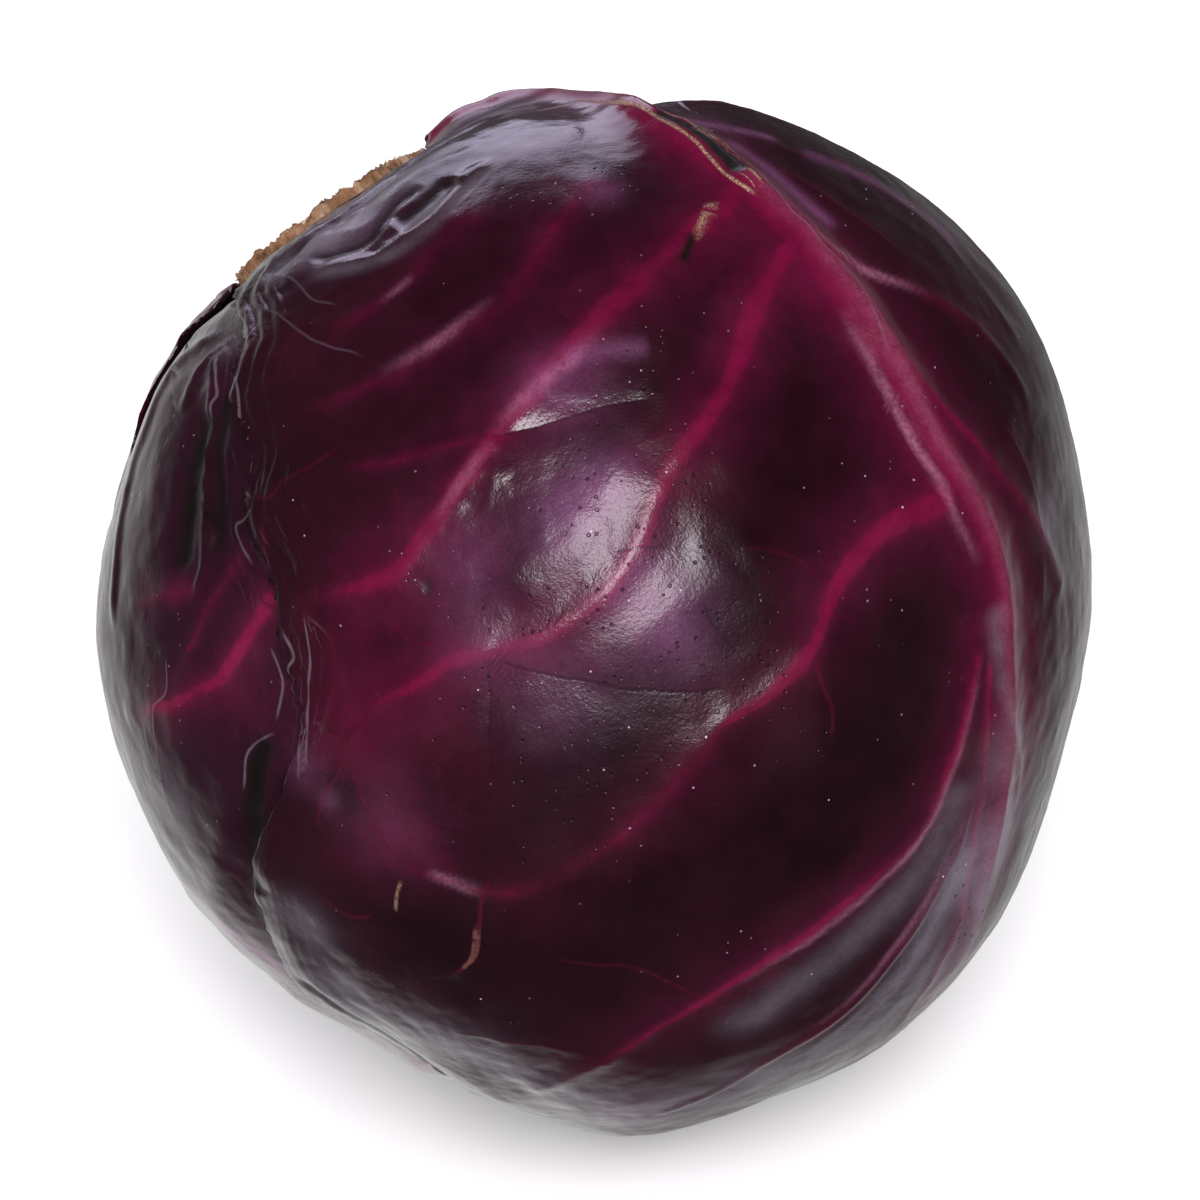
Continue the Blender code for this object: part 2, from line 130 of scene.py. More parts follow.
# Wrapper leaves, outermost first, with the chart centre, margin and waves of their solids
LEAVES = (
    {
        "name": "leaf_front", "finish": "waxed_outer_leaf", "centre": (90.0, 46.0), "cells": 300,
        "reach": ((-172, 98), (-150, 111), (-128, 111), (-105, 113), (-97, 109), (-91, 100),
                  (-87, 89), (-82, 82), (-74, 79), (-58, 78), (-44, 79), (-27, 85), (0, 92),
                  (40, 84), (70, 80), (95, 78), (120, 76), (150, 80)),
        "wave": (0.0011, 23),
    },
    {
        "name": "leaf_back", "finish": "waxed_outer_leaf", "centre": (90.0, 195.0), "cells": 240,
        "reach": ((-180, 78), (-150, 76), (-115, 70), (-90, 68), (-60, 74), (-35, 84), (0, 92),
                  (30, 84), (50, 72), (70, 63), (90, 60), (110, 62), (135, 72), (155, 79)),
        "wave": (0.0010, 19),
    },
    {
        "name": "leaf_left", "finish": "waxed_second_leaf", "centre": (90.0, -28.0), "cells": 240,
        "reach": ((-180, 70), (-150, 74), (-115, 84), (-90, 88), (-60, 86), (-35, 86), (0, 92),
                  (35, 84), (60, 78), (90, 72), (120, 70), (150, 70)),
        "wave": (0.0010, 17),
    },
    {
        "name": "leaf_right", "finish": "waxed_second_leaf", "centre": (90.0, 112.0), "cells": 160,
        "reach": ((-180, 82), (-150, 78), (-90, 64), (-60, 70), (-35, 82), (0, 92), (35, 82),
                  (60, 72), (90, 62), (150, 74)),
        "wave": (0.0008, 21),
    },
    {
        "name": "leaf_lower", "finish": "waxed_inner_leaf", "centre": (90.0, -118.0), "cells": 160,
        "reach": ((-180, 86), (-150, 80), (-90, 64), (-60, 68), (-35, 82), (0, 92), (35, 82),
                  (60, 70), (90, 66), (150, 82)),
        "wave": (0.0008, 18),
    },
)

FRONT_MIDRIB = ((14, 94), (25, 88), (32, 76), (38, 66), (44, 57), (55, 50), (71, 46), (81, 44),
                (95, 42), (111, 44), (125, 41), (143, 37), (162, 29))
MIDRIB_BEND_WIDTH = 48.0
MIDRIB_HEIGHT = 0.0032
MIDRIB_WIDTH = 0.0055
SIDE_RIB_HEIGHT = 0.0016
SIDE_RIB_WIDTH = 0.0036
SIDE_RIB_SPACING = 21.0
SIDE_RIB_SLOPE = 0.95

# Side ribs and the finer ones between them: spacing, height, colour and width as shares of full
SIDE_RIB_ORDERS = ((1.0, 0.85, 0.9, 0.55), (0.5, 0.15, 0.45, 0.30), (0.25, 0.07, 0.3, 0.2))

# What the photograph shows on each leaf. A row is a line's kind, its width and height in
# millimetres, its strength, and its points, listed as x and y in turn, in the photograph's pixels.
LINES = {
    "leaf_front": (
        ("vein", 2.6, 0.6, 0.4, 457, 219, 433, 246, 412, 273, 388, 292, 350, 316, 315, 326),
        ("vein", 2.9, 0.8, 0.5, 590, 190, 556, 230, 521, 284, 489, 313, 446, 334, 414, 359, 388, 377, 340,
         398, 300, 408),
        ("vein", 3.6, 1.5, 0.85, 735, 200, 700, 230, 640, 280, 605, 315, 570, 350, 500, 435, 440, 520, 415,
         555, 395, 575, 340, 592, 300, 605),
        ("vein", 1.5, 0.6, 0.5, 500, 435, 440, 450, 390, 462, 340, 465),
        ("vein", 2.5, 1.4, 1, 798, 246, 774, 274, 755, 312, 735, 370, 700, 430, 668, 480, 640, 550, 600,
         600, 545, 638, 500, 650, 460, 655, 425, 678, 375, 712, 345, 738),
        ("hair", 0.5, 0.15, 0.42, 375, 712, 348, 740, 340, 770, 325, 800, 315, 830),
        ("hair", 0.4, 0.15, 0.32, 500, 650, 450, 640, 410, 640, 372, 600),
        ("vein", 2.6, 1.6, 1, 940, 500, 900, 520, 870, 545, 835, 590, 815, 640, 775, 690, 720, 730, 680,
         775),
        ("vein", 2.4, 1.4, 0.5, 700, 750, 650, 810, 600, 850, 555, 875, 510, 890, 482, 888),
        ("hair", 0.5, 0.3, 0.52, 520, 889, 482, 886, 460, 880, 434, 876, 407, 862, 386, 839, 366, 800, 352,
         760),
        ("hair", 0.5, 0.3, 0.52, 490, 880, 484, 900, 482, 925, 476, 955, 450, 980),
        ("hair", 0.4, 0.2, 0.47, 812, 650, 822, 685, 834, 712, 832, 740),
        ("vein", 2, 1.2, 0.75, 984, 660, 972, 716, 952, 770, 933, 815, 906, 848, 860, 888, 812, 924, 774,
         948, 716, 986, 650, 1022, 595, 1055, 541, 1080),
        ("vein", 0.8, 0.8, 0.5, 993, 725, 988, 773, 975, 818, 962, 856, 937, 894, 911, 929, 879, 964, 848,
         995, 803, 1027, 761, 1051, 720, 1076, 660, 1098),
        ("vein", 1.2, 0.6, 0.75, 997, 668, 994, 725, 991, 773, 985, 818, 975, 872, 959, 923, 940, 955, 924,
         977, 905, 1000, 880, 1028),
        ("vein", 2.4, 1.1, 0.8, 830, 295, 879, 351, 911, 386, 959, 431, 1000, 475, 1040, 520, 1072, 580),
        ("vein", 1, 0.6, 0.6, 1001, 716, 1020, 748, 1029, 773, 1028, 805),
        ("sheen", 0.6, 0, 0.65, 986, 658, 975, 716, 956, 770, 937, 815, 911, 850, 864, 894, 816, 929, 777,
         952, 720, 990),
        ("sheen", 0.6, 0, 0.45, 971, 818, 933, 892, 907, 926, 875, 961, 844, 992, 800, 1023),
        ("frost_and_sheen", 3.2, 0, 0.42, 970, 770, 948, 830, 905, 888, 850, 938, 780, 990, 700, 1032),
        ("frost_and_sheen", 2.6, 0, 0.7, 980, 840, 945, 905, 900, 965, 840, 1022, 760, 1072, 690, 1100),
        ("frost_and_sheen", 2.6, 0, 0.9, 1030, 770, 1010, 850, 985, 905, 940, 980, 880, 1045, 800, 1085),
        ("frost_and_sheen", 1.6, 0, 0.45, 1002, 600, 1004, 636, 1009, 684, 1019, 725, 1036, 757),
        ("vein", 1.4, 0.6, 0.3, 640, 118, 700, 112, 760, 120, 840, 155, 900, 190, 980, 270),
        ("hair", 0.4, 0.3, 0.32, 660, 132, 710, 144, 764, 149, 800, 165, 879, 185, 915, 205),
        ("vein", 1.7, 0.8, 0.5, 740, 190, 783, 223, 825, 259, 853, 271, 908, 294, 970, 330, 1020, 390),
        ("hair", 0.4, 0.2, 0.21, 600, 300, 560, 345, 520, 372, 470, 400),
        ("hair", 0.4, 0.2, 0.21, 700, 430, 650, 440, 600, 470),
        ("hair", 0.4, 0.2, 0.32, 700, 990, 640, 965, 585, 960, 555, 955),
        ("hair", 0.5, 0.3, 0.3, 255, 495, 262, 500, 274, 498, 285, 482, 307, 467, 345, 440),
        ("hair", 0.4, 0.2, 0.37, 262, 520, 268, 545, 270, 570, 262, 600, 258, 625),
        ("hair", 0.4, 0.1, 0.4, 318, 900, 335, 914, 352, 920, 370, 918),
        ("hair", 0.4, 0.2, 0.26, 620, 1055, 560, 1040, 500, 1035, 450, 1030),
        ("hair", 0.4, 0.2, 0.26, 300, 605, 330, 640, 335, 690, 322, 730),
        ("hair", 0.4, 0.2, 0.21, 830, 590, 800, 560, 740, 545),
        ("hair", 0.4, 0.2, 0.21, 380, 560, 400, 520, 395, 480),
        ("sheen", 0.6, 0, 0.5, 378, 299, 398, 286, 412, 272),
        ("sheen", 0.9, 0, 0.5, 375, 374, 420, 350, 452, 328, 495, 298),
        ("sheen", 1, 0, 0.6, 490, 440, 520, 402, 545, 382, 570, 362, 600, 330),
        ("sheen", 0.8, 0, 0.6, 435, 525, 470, 475, 495, 442),
        ("sheen", 0.6, 0, 0.9, 835, 315, 857, 352, 892, 415, 920, 459, 950, 510, 985, 565),
        ("sheen", 0.7, 0, 1, 800, 245, 840, 268, 870, 280, 925, 300),
        ("sheen", 0.7, 0, 0.7, 425, 870, 455, 880, 487, 888),
        ("cut", 0.3, -0.25, 0.8, 610, 551, 635, 550, 668, 549, 700, 547),
        ("cut", 0.3, -0.4, 1, 480, 655, 520, 670, 560, 680, 630, 691, 690, 693, 732, 692),
        ("cut", 0.3, -0.5, 0.8, 490, 440, 520, 430, 560, 418, 610, 404, 662, 395),
        ("cut", 0.3, -0.2, 0.6, 488, 665, 490, 700, 491, 745, 490, 800),
        ("cut", 0.3, -0.2, 0.8, 706, 600, 718, 625, 745, 660),
        ("cut", 0.3, -0.4, 0.7, 288, 408, 320, 415, 345, 430, 385, 432),
        ("cut", 0.3, -0.2, 0.5, 560, 180, 600, 240, 612, 300),
        ("cut", 0.3, -0.2, 0.8, 375, 712, 345, 735, 322, 725),
        ("cut", 0.3, 0.2, 0.6, 600, 490, 617, 470, 628, 462),
        ("frost_and_sheen", 2.6, 0, 0.9, 255, 290, 290, 252, 345, 222, 385, 190, 425, 160, 480, 140),
        ("frost_and_sheen", 1.2, 0, 0.5, 300, 275, 361, 262, 400, 246, 438, 219, 465, 188, 500, 162),
        ("bloom_and_highlight", 1.5, 0, 0.9, 650, 122, 700, 134, 739, 141, 780, 150),
        ("bloom_and_highlight", 1.8, 0, 0.65, 790, 160, 850, 182, 905, 215, 960, 262),
        ("bloom_and_highlight", 1.6, 0, 0.85, 722, 150, 764, 180, 800, 208, 840, 240),
        ("bloom_and_highlight", 1.4, 0, 0.5, 560, 362, 610, 350, 650, 345),
        ("fold", 4.5, 0.5, 0, 500, 595, 560, 545, 610, 500, 650, 455),
        ("fold", 4.5, 0.4, 0, 590, 690, 640, 640, 690, 600, 740, 560),
        ("hair", 0.4, 0.3, 0.38, 640, 112, 690, 112, 740, 120, 790, 136),
        ("hair", 0.4, 0.3, 0.38, 690, 150, 740, 166, 800, 190, 850, 222, 900, 262),
        ("hair", 0.4, 0.2, 0.3, 860, 190, 920, 232, 970, 285, 1010, 345),
        ("hair", 0.4, 0.2, 0.38, 1000, 420, 1030, 470, 1050, 540, 1055, 610),
        ("fold", 2, 0.45, 0.5, 288, 240, 350, 226, 371, 212, 388, 190, 420, 168, 500, 143),
        ("fold", 1.7, 0.45, 0.6, 300, 268, 361, 259, 388, 246, 430, 219, 457, 184, 495, 158),
        ("hollow", 1, 0.5, 0.8, 300, 254, 350, 243, 373, 226, 392, 200, 420, 180),
        ("hollow", 2.6, 0.7, 0.8, 392, 222, 425, 200, 455, 176),
        ("hollow", 1.3, 0.4, 0.9, 262, 280, 300, 238, 350, 200, 395, 168),
        ("hollow", 1.6, 0.7, 1.5, 650, 131, 690, 152, 714, 172, 736, 198),
        ("hollow", 0.9, 0.4, 1, 692, 240, 686, 252, 680, 268),
        ("fibre", 0.3, 0.2, 1, 600, 109, 633, 125, 660, 143, 688, 163, 707, 182, 728, 202, 748, 214),
        ("fibre", 0.3, 0.15, 0.9, 640, 119, 680, 136, 708, 160, 738, 194, 752, 207),
        ("fibre", 0.3, 0.1, 0.5, 530, 112, 570, 104, 600, 109, 633, 125),
        ("matt", 2.4, 0, 1, 425, 138, 455, 120, 490, 103, 520, 98, 560, 98, 600, 103, 640, 110, 690, 122),
        ("scar", 0.5, 0.3, 0.9, 706, 214, 701, 230, 696, 242),
        ("fibre", 0.3, 0.1, 0.45, 404, 882, 396, 898, 392, 912),
        ("fibre", 0.3, 0.1, 0.2, 478, 925, 474, 955, 464, 968),
        ("withered_and_shade", 0.8, 0.15, 0.6, 428, 578, 434, 592),
        ("sheen_thread", 0.35, 0.12, 0.6, 700, 144, 764, 208, 802, 252, 841, 284, 857, 316, 880, 370),
    ),
    "leaf_left": (
        ("vein", 1.9, 0.9, 0.9, 258, 600, 250, 617, 237, 643, 220, 674, 203, 689, 177, 702, 150, 709, 128,
         712),
        ("vein", 1.2, 0.4, 0.5, 225, 560, 205, 600, 192, 637, 178, 670),
        ("vein", 1, 0.3, 0.45, 190, 590, 160, 595, 130, 602),
        ("fold", 1.5, 0.5, 0.8, 236, 300, 172, 358, 144, 419, 122, 482, 112, 562, 114, 640),
        ("fold", 1, 0.8, 0.4, 212, 330, 206, 370, 202, 401, 201, 454, 199, 519, 197, 571, 188, 610),
        ("fold", 0.9, 0.6, 0.4, 236, 345, 226, 378, 221, 420, 220, 470, 222, 520),
        ("fold", 0.9, 0.5, 0.3, 225, 318, 200, 350, 188, 372, 178, 410),
        ("hollow", 2.4, 0.8, 1, 203, 400, 190, 450, 182, 500, 177, 545, 176, 570),
        ("hollow", 1.2, 0.6, 0.8, 214, 380, 212, 430, 210, 500, 208, 560),
        ("bloom_and_highlight", 1.3, 0, 0.8, 180, 875, 225, 935, 285, 992, 365, 1046, 450, 1090),
        ("sheen_thread", 0.3, 0.12, 0.9, 211, 340, 208, 385, 203, 401, 203, 435),
        ("sheen_thread", 0.35, 0.12, 0.7, 164, 652, 166, 691, 155, 708, 153, 739, 162, 795, 177, 839),
        ("sheen_thread", 0.35, 0.12, 0.6, 140, 713, 149, 756, 159, 787, 168, 817),
    ),
}

# Marks beside the front leaf's left margin, which lie on that leaf and on the one under it: black
# lines, partly the withered margin and partly painted shade in the gap along it, and threads of
# painted sheen on the pleats
BESIDE_MARGIN = (
    ("withered_and_shade", 1.1, 0.3, 1, 287, 974, 314, 993, 347, 1018, 397, 1051, 424, 1066, 460, 1084, 493, 1100, 560,
     1128),
    ("withered_and_shade", 1.7, 0.3, 1.3, 262, 742, 252, 765, 247, 800, 244, 840, 243, 880),
    ("withered_and_shade", 1.2, 0.2, 0.7, 243, 860, 252, 885, 262, 900),
    ("sheen_thread", 0.4, 0.12, 0.35, 254, 302, 288, 321, 315, 340, 366, 356),
    ("sheen_thread", 0.4, 0.12, 0.35, 262, 272, 285, 276, 307, 294, 335, 303),
    ("sheen_thread", 0.4, 0.12, 0.9, 242, 302, 242, 332, 232, 356, 226, 378),
    ("sheen_thread", 0.4, 0.12, 0.8, 256, 318, 246, 345, 242, 380, 241, 445, 243, 486, 252, 500),
    ("sheen_thread", 0.4, 0.12, 0.6, 242, 486, 230, 516, 222, 526, 228, 545, 240, 562),
    ("sheen_thread", 0.4, 0.12, 0.9, 261, 650, 268, 670, 271, 687, 267, 724),
    ("sheen_thread", 0.4, 0.12, 0.9, 281, 628, 292, 656, 286, 670, 294, 695, 300, 740, 302, 782),
    ("sheen_thread", 0.4, 0.12, 0.8, 305, 613, 308, 665, 307, 721, 309, 760),
    ("sheen_thread", 0.4, 0.12, 1, 266, 738, 250, 746, 242, 757, 240, 775, 238, 792),
)

# Patches: centre and radius in pixels of the photograph, and amount. Tone makes the blade
# lighter, and darker where its amount is below zero: partly the blade's own uneven colour, partly
# painted shade, as on the rim at the top. Bloom is a lavender film of wax that also paints
# highlights and reflections, frost a grey film of wax that also paints the sheen at the edges, and
# grain is where the wax is broken and pitted.
PATCHES = {
    "tone_and_shade": (
        (810, 420, 90, -0.9), (900, 660, 100, -0.8), (760, 830, 130, -0.7), (560, 760, 70, -0.5),
        (420, 940, 80, -0.8), (600, 960, 100, -0.3), (420, 430, 90, -0.5), (480, 330, 50, -0.6),
        (430, 265, 50, -0.7), (640, 340, 55, -0.7), (540, 240, 50, -0.5), (330, 500, 80, 0.15),
        (380, 640, 90, 0.55), (330, 700, 80, 0.6), (430, 790, 90, 0.45), (760, 300, 70, 0.4),
        (830, 300, 40, 0.5), (560, 540, 90, 0.15), (660, 640, 90, 0.1), (930, 470, 50, 0.7),
        (985, 640, 40, 0.4), (520, 600, 70, 0.45), (1000, 400, 90, -0.5), (850, 200, 90, -0.5),
        (170, 597, 14, 1.2), (230, 720, 50, 0.3), (150, 640, 60, -0.2), (200, 800, 60, -0.2),
        (700, 900, 80, -0.1), (600, 1000, 60, -0.2), (520, 103, 40, -0.5), (345, 795, 22, -0.9),
        (610, 205, 55, -0.8), (640, 1100, 70, -0.3), (900, 300, 60, -0.5), (390, 835, 42, 1.4),
        (345, 745, 45, 0.6), (435, 875, 32, 1), (640, 900, 60, -0.5), (345, 868, 42, 0.8),
    ),
    "bloom_and_highlight": (
        (540, 150, 26, 0.3), (575, 520, 42, 0.8), (610, 485, 30, 0.7), (650, 600, 45, 0.7),
        (680, 650, 35, 0.25), (470, 560, 40, 0.3), (340, 218, 50, 0.5), (700, 135, 30, 0.4),
        (600, 195, 22, 0.5), (985, 860, 50, 0.4), (640, 1100, 60, 0.3), (560, 690, 50, 0.3),
        (480, 640, 40, 0.3), (560, 390, 40, 0.5), (385, 825, 45, 0.15), (305, 765, 22, 0.25),
        (330, 800, 12, 0.35),
    ),
    "frost_and_sheen": (
        (345, 228, 30, 0.6), (430, 165, 30, 0.5), (540, 140, 30, 0.3), (985, 870, 60, 0.8),
        (930, 970, 50, 0.6), (860, 1030, 45, 0.5), (760, 1065, 45, 0.4), (640, 1100, 60, 0.3),
        (340, 1000, 45, 0.7), (300, 930, 35, 0.5), (430, 1040, 45, 0.5), (1060, 520, 35, 0.5),
        (165, 800, 40, 0.3), (1010, 760, 35, 0.5), (490, 1055, 42, 0.4), (560, 1080, 42, 0.4),
    ),
    "grain": (
        (600, 510, 70, 1.2), (670, 635, 75, 1.3), (600, 710, 80, 1), (640, 350, 45, 0.9),
        (600, 190, 45, 0.9), (550, 840, 60, 0.9), (790, 700, 60, 0.8), (640, 450, 40, 0.6),
        (340, 800, 40, 0.9), (910, 720, 60, 0.6), (500, 640, 50, 0.6), (960, 920, 50, 0.6),
    ),
}

# The strip beside the front leaf's left margin where both leaves are drawn into fine pleats
PLEATED_STRIP = (240, 300, 238, 400, 250, 560, 290, 690, 295, 760, 255, 870, 290, 960, 370, 1020)
PLEATED_WIDTH = 0.0085

# Inner leaves that stand out of the heart
HEART_LEAVES = ((118.0, 20.0, 62.0), (122.0, 158.0, 60.0), (126.0, 275.0, 56.0))
HEART_STEP = 0.0012
HEART_SUBDIVISIONS = 7
SEAT_HEIGHT = BASE_FLATNESS * HEAD_RADIUS - len(LEAVES) * LAYER_STEP - 2.0 * HEART_STEP

# Finishes of the leaves: the blade from dark to light, the sap and its paler tint, and how light
# the blade is
LEAF_FINISHES = {
    "waxed_outer_leaf": ("#0d0407", "#260814", "#520b29", "#520422", "#700a37", -0.22),
    "waxed_second_leaf": ("#10050b", "#280b1a", "#52102e", "#5c0828", "#7a0d3c", -0.18),
    "waxed_inner_leaf": ("#200c18", "#481a34", "#7d2a58", "#a04a76", "#bb6890", -0.10),
}

# Soft panels that light the head: place in the front frame, width, height, brightness and tint
LIGHTS = {
    "camera_side_softbox": ((0.02, -1.12, 0.20), 0.42, 0.46, 17.5, "#fffaff"),
    "top_panel": ((-0.23, 0.670, 0.860), 0.52, 0.52, 2.4, "#e4dcfa"),
}
FLOOR_HALF_WIDTH = 4.0
FLOOR_GLOW = 0.25


def smooth_step(low, high, value):
    """0 below low, 1 above high and an S between them."""
    t = np.clip((value - low) / (high - low), 0.0, 1.0)
    return t * t * (3.0 - 2.0 * t)


def soft_minimum(a, b, softness):
    """The smaller of two values, rounded where they cross."""
    return 0.5 * (a + b - np.sqrt((a - b) ** 2 + softness * softness))


def ridge(distance, width):
    """The rounded cross-section of a rib, 1 on its crest."""
    return np.exp(-((distance / width) ** 2))


def angle(cosine):
    """The angle in degrees that has a cosine."""
    return np.degrees(np.arccos(np.clip(cosine, -1.0, 1.0)))


def unit(rows):
    """Every row carried to length 1."""
    return rows / np.linalg.norm(rows, axis=1)[:, None]


def smooth_curve(value, knots, period=None):
    """A smooth curve through (position, height) knots, closed on itself if it has a period."""
    x = np.array([k[0] for k in knots], dtype=float)
    y = np.array([k[1] for k in knots], dtype=float)
    if period:
        x = np.concatenate((x[-2:] - period, x, x[:2] + period))
        y = np.concatenate((y[-2:], y, y[:2]))
        value = (value - x[2]) % period + x[2]
    slope = np.gradient(y, x)
    value = np.clip(value, x[0], x[-1])
    i = np.clip(np.searchsorted(x, value, side="right") - 1, 0, len(x) - 2)
    width = x[i + 1] - x[i]
    t = (value - x[i]) / width
    rise = (1.0 + 2.0 * t) * (1.0 - t) ** 2 * y[i] + t * t * (3.0 - 2.0 * t) * y[i + 1]
    lean = t * (1.0 - t) ** 2 * slope[i] - t * t * (1.0 - t) * slope[i + 1]
    return rise + width * lean


def stem_frame():
    """The head's side at longitude 0, its side at longitude 90, and its stem, seen from the front."""
    lean = math.radians(LEAN_LEFT)
    near = np.array((0.0, -1.0, 0.0))
    right = np.array((math.cos(lean), 0.0, math.sin(lean)))
    stem = np.array((-math.sin(lean), 0.0, math.cos(lean)))
    return near, right, stem


NEAR, RIGHT, STEM = stem_frame()
DOWN = np.array((0.0, math.sin(math.radians(LEAN_BACK)), -math.cos(math.radians(LEAN_BACK))))


def direction(colatitude, longitude):
    """Unit vectors in the front frame (X right, Y away, Z up the picture)."""
    c = np.radians(colatitude)[..., None]
    g = np.radians(longitude)[..., None]
    return np.sin(c) * np.cos(g) * NEAR + np.sin(c) * np.sin(g) * RIGHT + np.cos(c) * STEM


def head_angles(u):
    """Colatitude and longitude of unit vectors."""
    colatitude = angle(u @ STEM)
    return colatitude, np.degrees(np.arctan2(u @ RIGHT, u @ NEAR))


def lobed_radius(u):
    """The head's radius with its lobes and its flattened base, before it is set down."""
    turn = np.arctan2(u[..., 2], u[..., 0])
    side = np.hypot(u[..., 0], u[..., 2])
    radius = np.full(side.shape, BLADE_SHARE)
    for waves, height, towards in LOBES:
        radius = radius + height * side ** waves * np.cos(waves * (turn - math.radians(towards)))
    across = (np.degrees(turn) - VALLEY_TOWARDS + 180.0) % 360.0 - 180.0
    away = np.degrees(np.arctan2(u[..., 1], side))
    valley = ridge(across, VALLEY_WIDTH) * ridge(away, VALLEY_LENGTH)
    radius = radius - VALLEY_DEPTH * valley
    colatitude, _ = head_angles(u)
    flat = BASE_FLATNESS / np.maximum(np.cos(np.radians(colatitude)), 0.2)
    return HEAD_RADIUS * soft_minimum(radius, flat, BASE_SOFTNESS)


BOTTOM = lobed_radius(DOWN[None])[0]
RESTING_HEIGHT = BOTTOM - RESTING_RADIUS ** 2 / (2.0 * BOTTOM)


def outside_radius(u):
    """The smooth outside of the head, with the flat spot that it rests on."""
    return np.minimum(lobed_radius(u), RESTING_HEIGHT / np.maximum(u @ DOWN, 0.2))


def bend(leaf, colatitude, longitude):
    """Carries the front leaf's chart round with its bent midrib."""
    if leaf is not LEAVES[0]:
        return longitude
    middle = leaf["centre"][1]
    offset = (longitude - middle + 180.0) % 360.0 - 180.0
    shift = smooth_curve(colatitude, FRONT_MIDRIB) - middle
    return longitude + shift * np.exp(-((offset / MIDRIB_BEND_WIDTH) ** 2))


def unbend(leaf, colatitude, longitude):
    """Undoes bend by repeated correction."""
    flat = longitude
    for _ in range(8):
        flat = flat - 0.6 * (bend(leaf, colatitude, flat) - longitude)
    return flat


def stem_reach(leaf, turn):
    """Distance from the chart's centre to the hole round the stem, or far where it misses."""
    layer = LEAVES.index(leaf)
    height = BASE_FLATNESS * HEAD_RADIUS - layer * LAYER_STEP - LEAF_THICKNESS
    hole = math.atan2(STEM_RADIUS + STEM_GAP, height)
    across = math.radians(leaf["centre"][0])
    a = math.cos(across)
    b = math.sin(across) * np.cos(np.radians(turn))
    size = np.hypot(a, b)
    hits = (size > math.cos(hole)) & (b > 0.0)
    ratio = np.clip(math.cos(hole) / np.maximum(size, 1e-9), -1.0, 1.0)
    return np.where(hits, np.degrees(np.arctan2(b, a) - np.arccos(ratio)), 999.0)


def margin_reach(leaf, turn):
    """Distance of the leaf's margin from its chart's centre, in degrees."""
    height, waves = leaf["wave"]
    body = smooth_curve(turn, leaf["reach"], 360.0)
    body = body + np.degrees(height / HEAD_RADIUS) * np.sin(np.radians(turn) * waves)
    return np.minimum(body, stem_reach(leaf, turn))


def margin_nibble(leaf, turn):
    """The fine unevenness of a leaf's margin, in degrees."""
    t = np.radians(turn)
    seed = LEAVES.index(leaf) * 1.7
    fine = np.sin(47.0 * t + seed) * np.sin(31.0 * t + 2.0 * seed) + 0.6 * np.sin(113.0 * t + seed)
    return 0.35 * fine + 0.25 * np.sin(211.0 * t) * np.sin(17.0 * t + seed)


def chart_to_direction(leaf, distance, turn):
    """Unit vectors for a distance and turn about the leaf's centre."""
    middle = math.radians(leaf["centre"][0])
    d = np.radians(distance)
    t = np.radians(turn)
    along = np.cos(d) * math.cos(middle) + np.sin(d) * np.cos(t) * math.sin(middle)
    out = np.cos(d) * math.sin(middle) - np.sin(d) * np.cos(t) * math.cos(middle)
    colatitude = angle(along)
    longitude = leaf["centre"][1] + np.degrees(np.arctan2(np.sin(d) * np.sin(t), out))
    return direction(colatitude, bend(leaf, colatitude, longitude))


def direction_to_chart(leaf, u):
    """Distance and turn about the leaf's centre of unit vectors."""
    colatitude, longitude = head_angles(u)
    longitude = unbend(leaf, colatitude, longitude) - leaf["centre"][1]
    middle = math.radians(leaf["centre"][0])
    c = np.radians(colatitude)
    g = np.radians(longitude)
    near = np.cos(c) * math.cos(middle) + np.sin(c) * np.cos(g) * math.sin(middle)
    stemward = np.cos(c) * math.sin(middle) - np.sin(c) * np.cos(g) * math.cos(middle)
    distance = angle(near)
    return distance, np.degrees(np.arctan2(np.sin(c) * np.sin(g), stemward))


def cover(leaf, u, fade):
    """1 under the leaf and just past its margin, fading to 0 further out."""
    distance, turn = direction_to_chart(leaf, u)
    outside = distance - margin_reach(leaf, turn)
    return 1.0 - smooth_step(MARGIN_CLEARANCE, MARGIN_CLEARANCE + fade, outside)


def layer_depth(above, u):
    """How far the leaves above press the surface below the outside of the head."""
    return LAYER_STEP * sum((cover(leaf, u, COVER_FADE) for leaf in above), np.zeros(len(u)))


def exposure(above, u, fade=RELIEF_FADE):
    """1 where no leaf lies above, 0 under one."""
    shown = np.ones(len(u))
    for leaf in above:
        shown = shown * (1.0 - cover(leaf, u, fade))
    return shown


def photo_direction(pixels):
    """Directions of the head's points that the camera sees at the photograph's pixels."""
    pixels = np.array(pixels, dtype=float)
    scale = METRES_PER_PIXEL
    x = (pixels[:, 0] - PHOTO_CENTRE[0]) * scale
    z = (PHOTO_CENTRE[1] - pixels[:, 1]) * scale
    ray = np.stack((x, np.full(len(x), CAMERA_DISTANCE), z), axis=1)
    ray = unit(ray)
    half = CAMERA_DISTANCE * ray[:, 1]
    inside = np.maximum(half ** 2 - CAMERA_DISTANCE ** 2 + HEAD_RADIUS ** 2, 0.0)
    point = ray * (half - np.sqrt(inside))[:, None]
    point[:, 1] -= CAMERA_DISTANCE
    return unit(point)


SEEN_RADIUS = HEAD_RADIUS / math.sqrt(1.0 - (HEAD_RADIUS / CAMERA_DISTANCE) ** 2)
METRES_PER_PIXEL = SEEN_RADIUS / PHOTO_RADIUS


def rounded_path(points, steps=4):
    """Directions along a smooth curve through photograph points."""
    knots = photo_direction(np.reshape(points, (-1, 2)))
    if len(knots) < 3:
        return knots
    place = np.arange(len(knots), dtype=float)
    fine = np.linspace(0.0, len(knots) - 1.0, (len(knots) - 1) * steps + 1)
    curve = np.stack([smooth_curve(fine, list(zip(place, knots[:, i]))) for i in range(3)], axis=1)
    return unit(curve)


